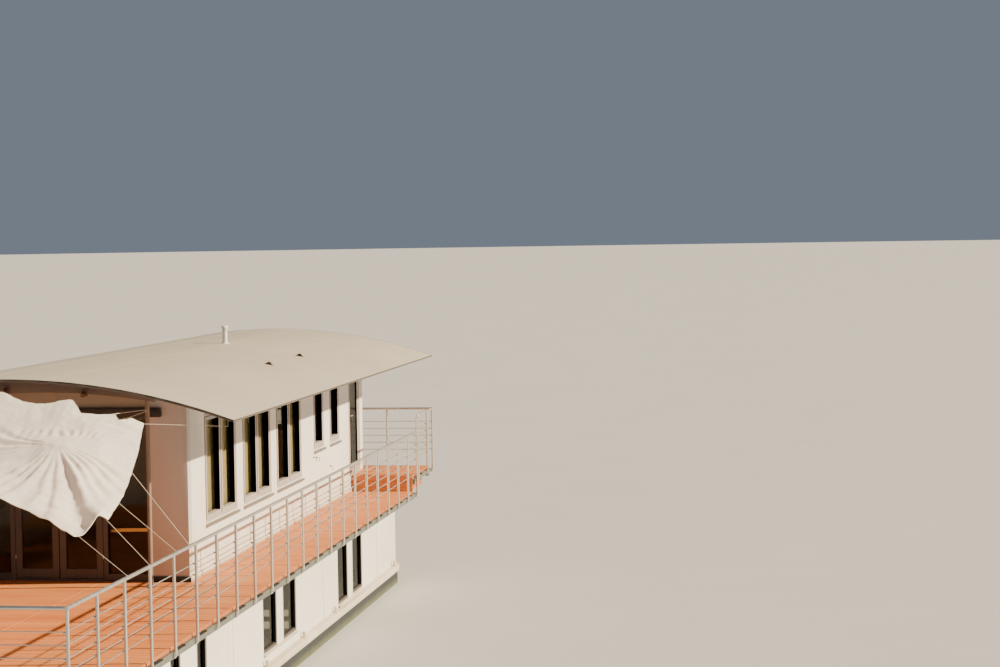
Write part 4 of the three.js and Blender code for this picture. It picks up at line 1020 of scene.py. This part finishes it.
for name, end, bottom, top, floor_z in (("near", -1, BEAM_BOTTOM, RAIL_Z, DECK_TOP),
                                        ("far", 1, RAISED_BOTTOM, RAISED_Z, PLATFORM_TOP)):
    bm = bmesh.new()
    y = end * RAIL_Y
    for x in END_POSTS:
        post(bm, x, y, bottom, top - 0.01, (0, -end, 0), floor_z)
    if end < 0:
        elbow(bm, [(-RAIL_X, y, top), (RAIL_X, y, top)])
    else:
        elbow(bm, [(RAIL_X, y, top), (-RAIL_X, y, top), (-RAIL_X, RAISED_POSTS[1], top)])
        for y_at in RAISED_POSTS[1:]:
            post(bm, -RAIL_X, y_at, bottom, top - 0.01, (1, 0, 0), floor_z)
    piece(f"handrail_{name}", bm, brushed_steel, f"railing_{name}", "stainless_steel")
# Infill rods, drawn stainless wire rod 12 mm thick
ROD_X, ROD_Y = RAIL_X - TUBE - 0.0003 - ROD, RAIL_Y - TUBE - 0.0003 - ROD
ROD_STEP = STEP_Y - 0.03
STRETCHES = {
    "right": [(ROD_X, -ROD_Y, ROD_X, ROD_STEP + 0.02, DECK_TOP),
              (ROD_X, ROD_STEP - 0.02, ROD_X, ROD_Y, PLATFORM_TOP)],
    "left": [(-ROD_X, -ROD_Y, -ROD_X, ROD_STEP + 0.02, DECK_TOP)],
    "near": [(-ROD_X, -ROD_Y, ROD_X, -ROD_Y, DECK_TOP)],
    "far": [(-ROD_X, ROD_Y, ROD_X, ROD_Y, PLATFORM_TOP),
            (-ROD_X, RAISED_POSTS[1], -ROD_X, ROD_Y, PLATFORM_TOP)],
}
for name, stretches in STRETCHES.items():
    bm = bmesh.new()
    for height in ROD_HEIGHTS:
        for x, y, end_x, end_y, floor_z in stretches:
            bar(bm, (x, y, floor_z + height), (end_x, end_y, floor_z + height), ROD, 10)
    piece(f"infill_rods_{name}", bm, brushed_steel, f"rods_{name}", "stainless_steel")

# Sun sail
# One large sheet of cream cotton canvas, tied to the gable posts and the roof along its far edge
# and guyed down to the top rails. It hangs in scallops between its ties, is gathered at one
# point on each side, and falls from there in a fan of folds to its near tip.
# Each line across the sail holds share, x, y and height over water, from the middle to the edge
SAIL_LINES = [
    (0.0, [(0, 0, -4.1, 4.29), (0.06, 0.11, -4.1, 4.262), (0.2, 0.38, -4.2, 4.172),
           (0.3, 0.58, -4.24, 4.133), (0.4, 0.76, -4.19, 4.142), (0.5, 0.975, -4.1, 4.178),
           (0.52, 1.01, -4.1, 4.17), (0.6, 1.188, -4.33, 4.035), (0.7, 1.38, -4.3, 4.012),
           (0.8, 1.579, -4.2, 4.015), (0.86, 1.688, -4.38, 3.936), (0.91, 1.783, -4.2, 3.952),
           (1, 1.925, -4.15, 3.881)]),
    (0.2, [(0, 0, -4.8, 3.875), (0.17, 0.336, -4.8, 3.869), (0.35, 0.713, -4.8, 3.857),
           (0.55, 1.107, -4.85, 3.849), (0.78, 1.588, -4.8, 3.831), (1, 2.001, -4.5, 3.778)]),
    (0.35, [(0, 0, -5.16, 3.66), (0.22, 0.467, -5.15, 3.698), (0.4, 0.822, -5.13, 3.741),
           (0.58, 1.229, -5.26, 3.757), (0.76, 1.598, -5.2, 3.702), (0.87, 1.808, -5.1, 3.657),
           (1, 2.08, -4.9, 3.61)]),
    (0.43, [(0, 0, -5.5, 3.55), (0.28, 0.599, -5.5, 3.586), (0.43, 0.931, -5.4, 3.658),
           (0.57, 1.235, -5.34, 3.742), (0.76, 1.66, -5.45, 3.605), (1, 2.15, -5.4, 3.39)]),
    (0.68, [(0, 0, -6.1, 3.4), (0.37, 0.827, -6.1, 3.413), (0.58, 1.305, -6.1, 3.413),
           (0.75, 1.686, -6.0, 3.403), (0.86, 1.915, -5.8, 3.38), (1, 2.235, -6.0, 3.2)]),
    (1.0, [(0, 0, -6.75, 3.29), (0.46, 1.094, -6.8, 3.258), (0.63, 1.484, -6.9, 3.153),
           (0.8, 1.883, -7.05, 2.994), (0.88, 2.071, -7.15, 2.941), (0.95, 2.222, -6.8, 3.066),
           (1, 2.297, -6.7, 3.032)]),
]
# Cotton canvas, plain woven: cream, dull, lets the sun glow through; threads 1.2 mm apart are
# drawn 6 mm apart to show
canvas = finish("cotton_canvas", "#faf1df", "#f3e6cd", 0.9, patch_mm=700, grain_mm=6, bump_mm=0.4)
shader = canvas.node_tree.nodes["Principled BSDF"]
shader.inputs["Sheen Weight"].default_value = 0.25
shader.inputs["Subsurface Weight"].default_value = 0.5
shader.inputs["Subsurface Radius"].default_value = (0.5, 0.36, 0.24)
PINCH = Vector((1.229, -5.29))
# Folds that start at the pinch: turn from straight inboard, width in degrees, height, and the
# distances where each has grown full and where it has died out
SAIL_FOLDS = [
    (30, 3.2, 0.012, 0.6, 1.5), (44, 2.6, 0.009, 0.5, 1.1), (57, 3.6, 0.017, 0.8, 1.7),
    (71, 2.4, 0.01, 0.6, 1.2), (84, 3.4, 0.02, 0.9, 1.9), (97, 2.2, 0.01, 0.5, 1.3),
    (106, 2.0, 0.012, 0.7, 1.6), (131, 2.6, 0.018, 0.5, 1.4), (141, 2.4, 0.012, 0.4, 1.0),
    (152, 2.2, 0.012, 0.4, 0.9), (163, 2.4, 0.009, 0.4, 0.8),
]


def through(knots, share, before, sharp=False):
    """The place at a share along a rounded or kinked line through knots of share and place."""
    last = len(knots) - 1
    i = max(k for k in range(last) if knots[k][0] <= share or k == 0)
    start, end, after = knots[i], knots[i + 1], knots[min(i + 2, last)]
    before = knots[i - 1] if i else before
    gap = end[0] - start[0]
    t = (share - start[0]) / gap
    if sharp:
        return start[1].lerp(end[1], t)
    slope_a = (end[1] - before[1]) / (end[0] - before[0]) * gap
    slope_b = (after[1] - start[1]) / (after[0] - start[0]) * gap
    return ((2 * t ** 3 - 3 * t ** 2 + 1) * start[1] + (t ** 3 - 2 * t ** 2 + t) * slope_a
            + (3 * t ** 2 - 2 * t ** 3) * end[1] + (t ** 3 - t ** 2) * slope_b)


# The same lines as vectors, each with its first knot's mirror image over the middle
sail_knots = []
for at, points in SAIL_LINES:
    share, x, y, z = points[1]
    sail_knots.append((at, [(p[0], Vector(p[1:])) for p in points], (-share, Vector((-x, y, z)))))


def sail_at(across, down):
    """The sail's place at a share across, 0 in the middle and 1 at the edge, and a share down."""
    lines = [(at, through(knots, across, mirrored, at in (0.0, 1.0))) for at, knots, mirrored in sail_knots]
    return through(lines, down, lines[0])


def between(value, low, high, soft):
    """1 between low and high, falling to 0 over the soft width at each end."""
    return max(0, min(1, (value - low) / soft + 0.5)) * max(0, min(1, (high - value) / soft + 0.5))


def dent(s):
    """A rise and a fall side by side, 1 high at s = 1 and 1 deep at s = -1."""
    return s * math.exp(0.5 - s * s / 2)


def ripple(x, y, z):
    """Smooth noise between -1 and 1 at a place."""
    return noise.noise(Vector((x, y, z)))


def sail_fold(x, y):
    """Height of the folds: the deep one to the tip, the fan beside it, and the wrinkles."""
    out = abs(x)
    away = Vector((out, y)) - PINCH
    r = away.length
    turn = math.degrees(math.atan2(away.y, away.x))
    back = turn % 360 - 180
    wander = ripple(out * 1.7, y * 1.7, 4.2)
    total = 0.056 * dent((turn + 59 + 0.6 * wander) / (3.1 + 0.5 * min(r, 1.5))) * min(r / 1.15, 1)
    for at, width, height, start, end in SAIL_FOLDS:
        rise = min(r / start, 1) * max(0, min((end - r) / 0.5 + 1, 1))
        total += height * dent((back - at + 5 * wander) / width) * rise
    hollow = 0.014 * math.sin(math.radians(back) * 30 + 3 * wander) * min(r / 0.35, 1)
    hollow *= between(back, -30, 14, 10)
    gather = 0.012 * math.sin(out * 52 + 9 * wander) * math.exp(-((y + 4.88) / 0.11) ** 2)
    gather *= 0.5 + ripple(out * 2.3, 0.5, 7.7)
    edge = 0.017 * ripple(x * 2.2 + y * 1.1, y * 9, 5) * between(out, 1.45, 2.6, 0.4)
    crumple = 0.02 * ripple(x * 2.1, y * 1.4, 0.3) + 0.014 * ripple(x * 5, y * 4, 1.7)
    fine = 0.006 * ripple(x * 13, y * 10, 8.1) + 0.0025 * ripple(x * 30, y * 24, 3.3)
    return total + hollow + gather + edge + crumple + fine


HALF_COLUMNS, SAIL_ROWS = 112, 136
bm = bmesh.new()
bmesh.ops.create_grid(bm, x_segments=2 * HALF_COLUMNS, y_segments=SAIL_ROWS, size=0.5)
for v in bm.verts:
    place = sail_at(min(abs(v.co.x) * 2, 1), max(0, min(0.5 - v.co.y, 1)))
    v.co = Vector((-place.x if v.co.x < 0 else place.x, place.y, WATER + place.z))
sail_area = sum(face.calc_area() for face in bm.faces)
for v in bm.verts:
    v.co.z += sail_fold(v.co.x, v.co.y)
# Flat size: twice a line across at 0.6 of the way down, and the line to the near tip at 0.88 across
wide = sum((sail_at((i + 1) / 40, 0.6) - sail_at(i / 40, 0.6)).length for i in range(40)) * 2
deep = sum((sail_at(0.88, (i + 1) / 40) - sail_at(0.88, i / 40)).length for i in range(40))
neighbours = {}
hem_loop = [e for e in bm.edges if e.is_boundary]
for e in hem_loop:
    for a, b in (e.verts, reversed(e.verts)):
        neighbours.setdefault(a.index, []).append(b.index)
bm.verts.ensure_lookup_table()
order = [v.index for v in hem_loop[0].verts]
while order[0] != order[-1]:
    order.append([i for i in neighbours[order[-1]] if i != order[-2]][0])
hem_line = [bm.verts[i].co.copy() for i in order[:-1]]
sail = piece("sail_cloth", bm, canvas, "sun_sail", "canvas", crease=180)
thicken(sail, 0.0016)
hem = piece("sail_bolt_rope", line_mesh(hem_line, 0.005, closed=True), canvas, slot="canvas")
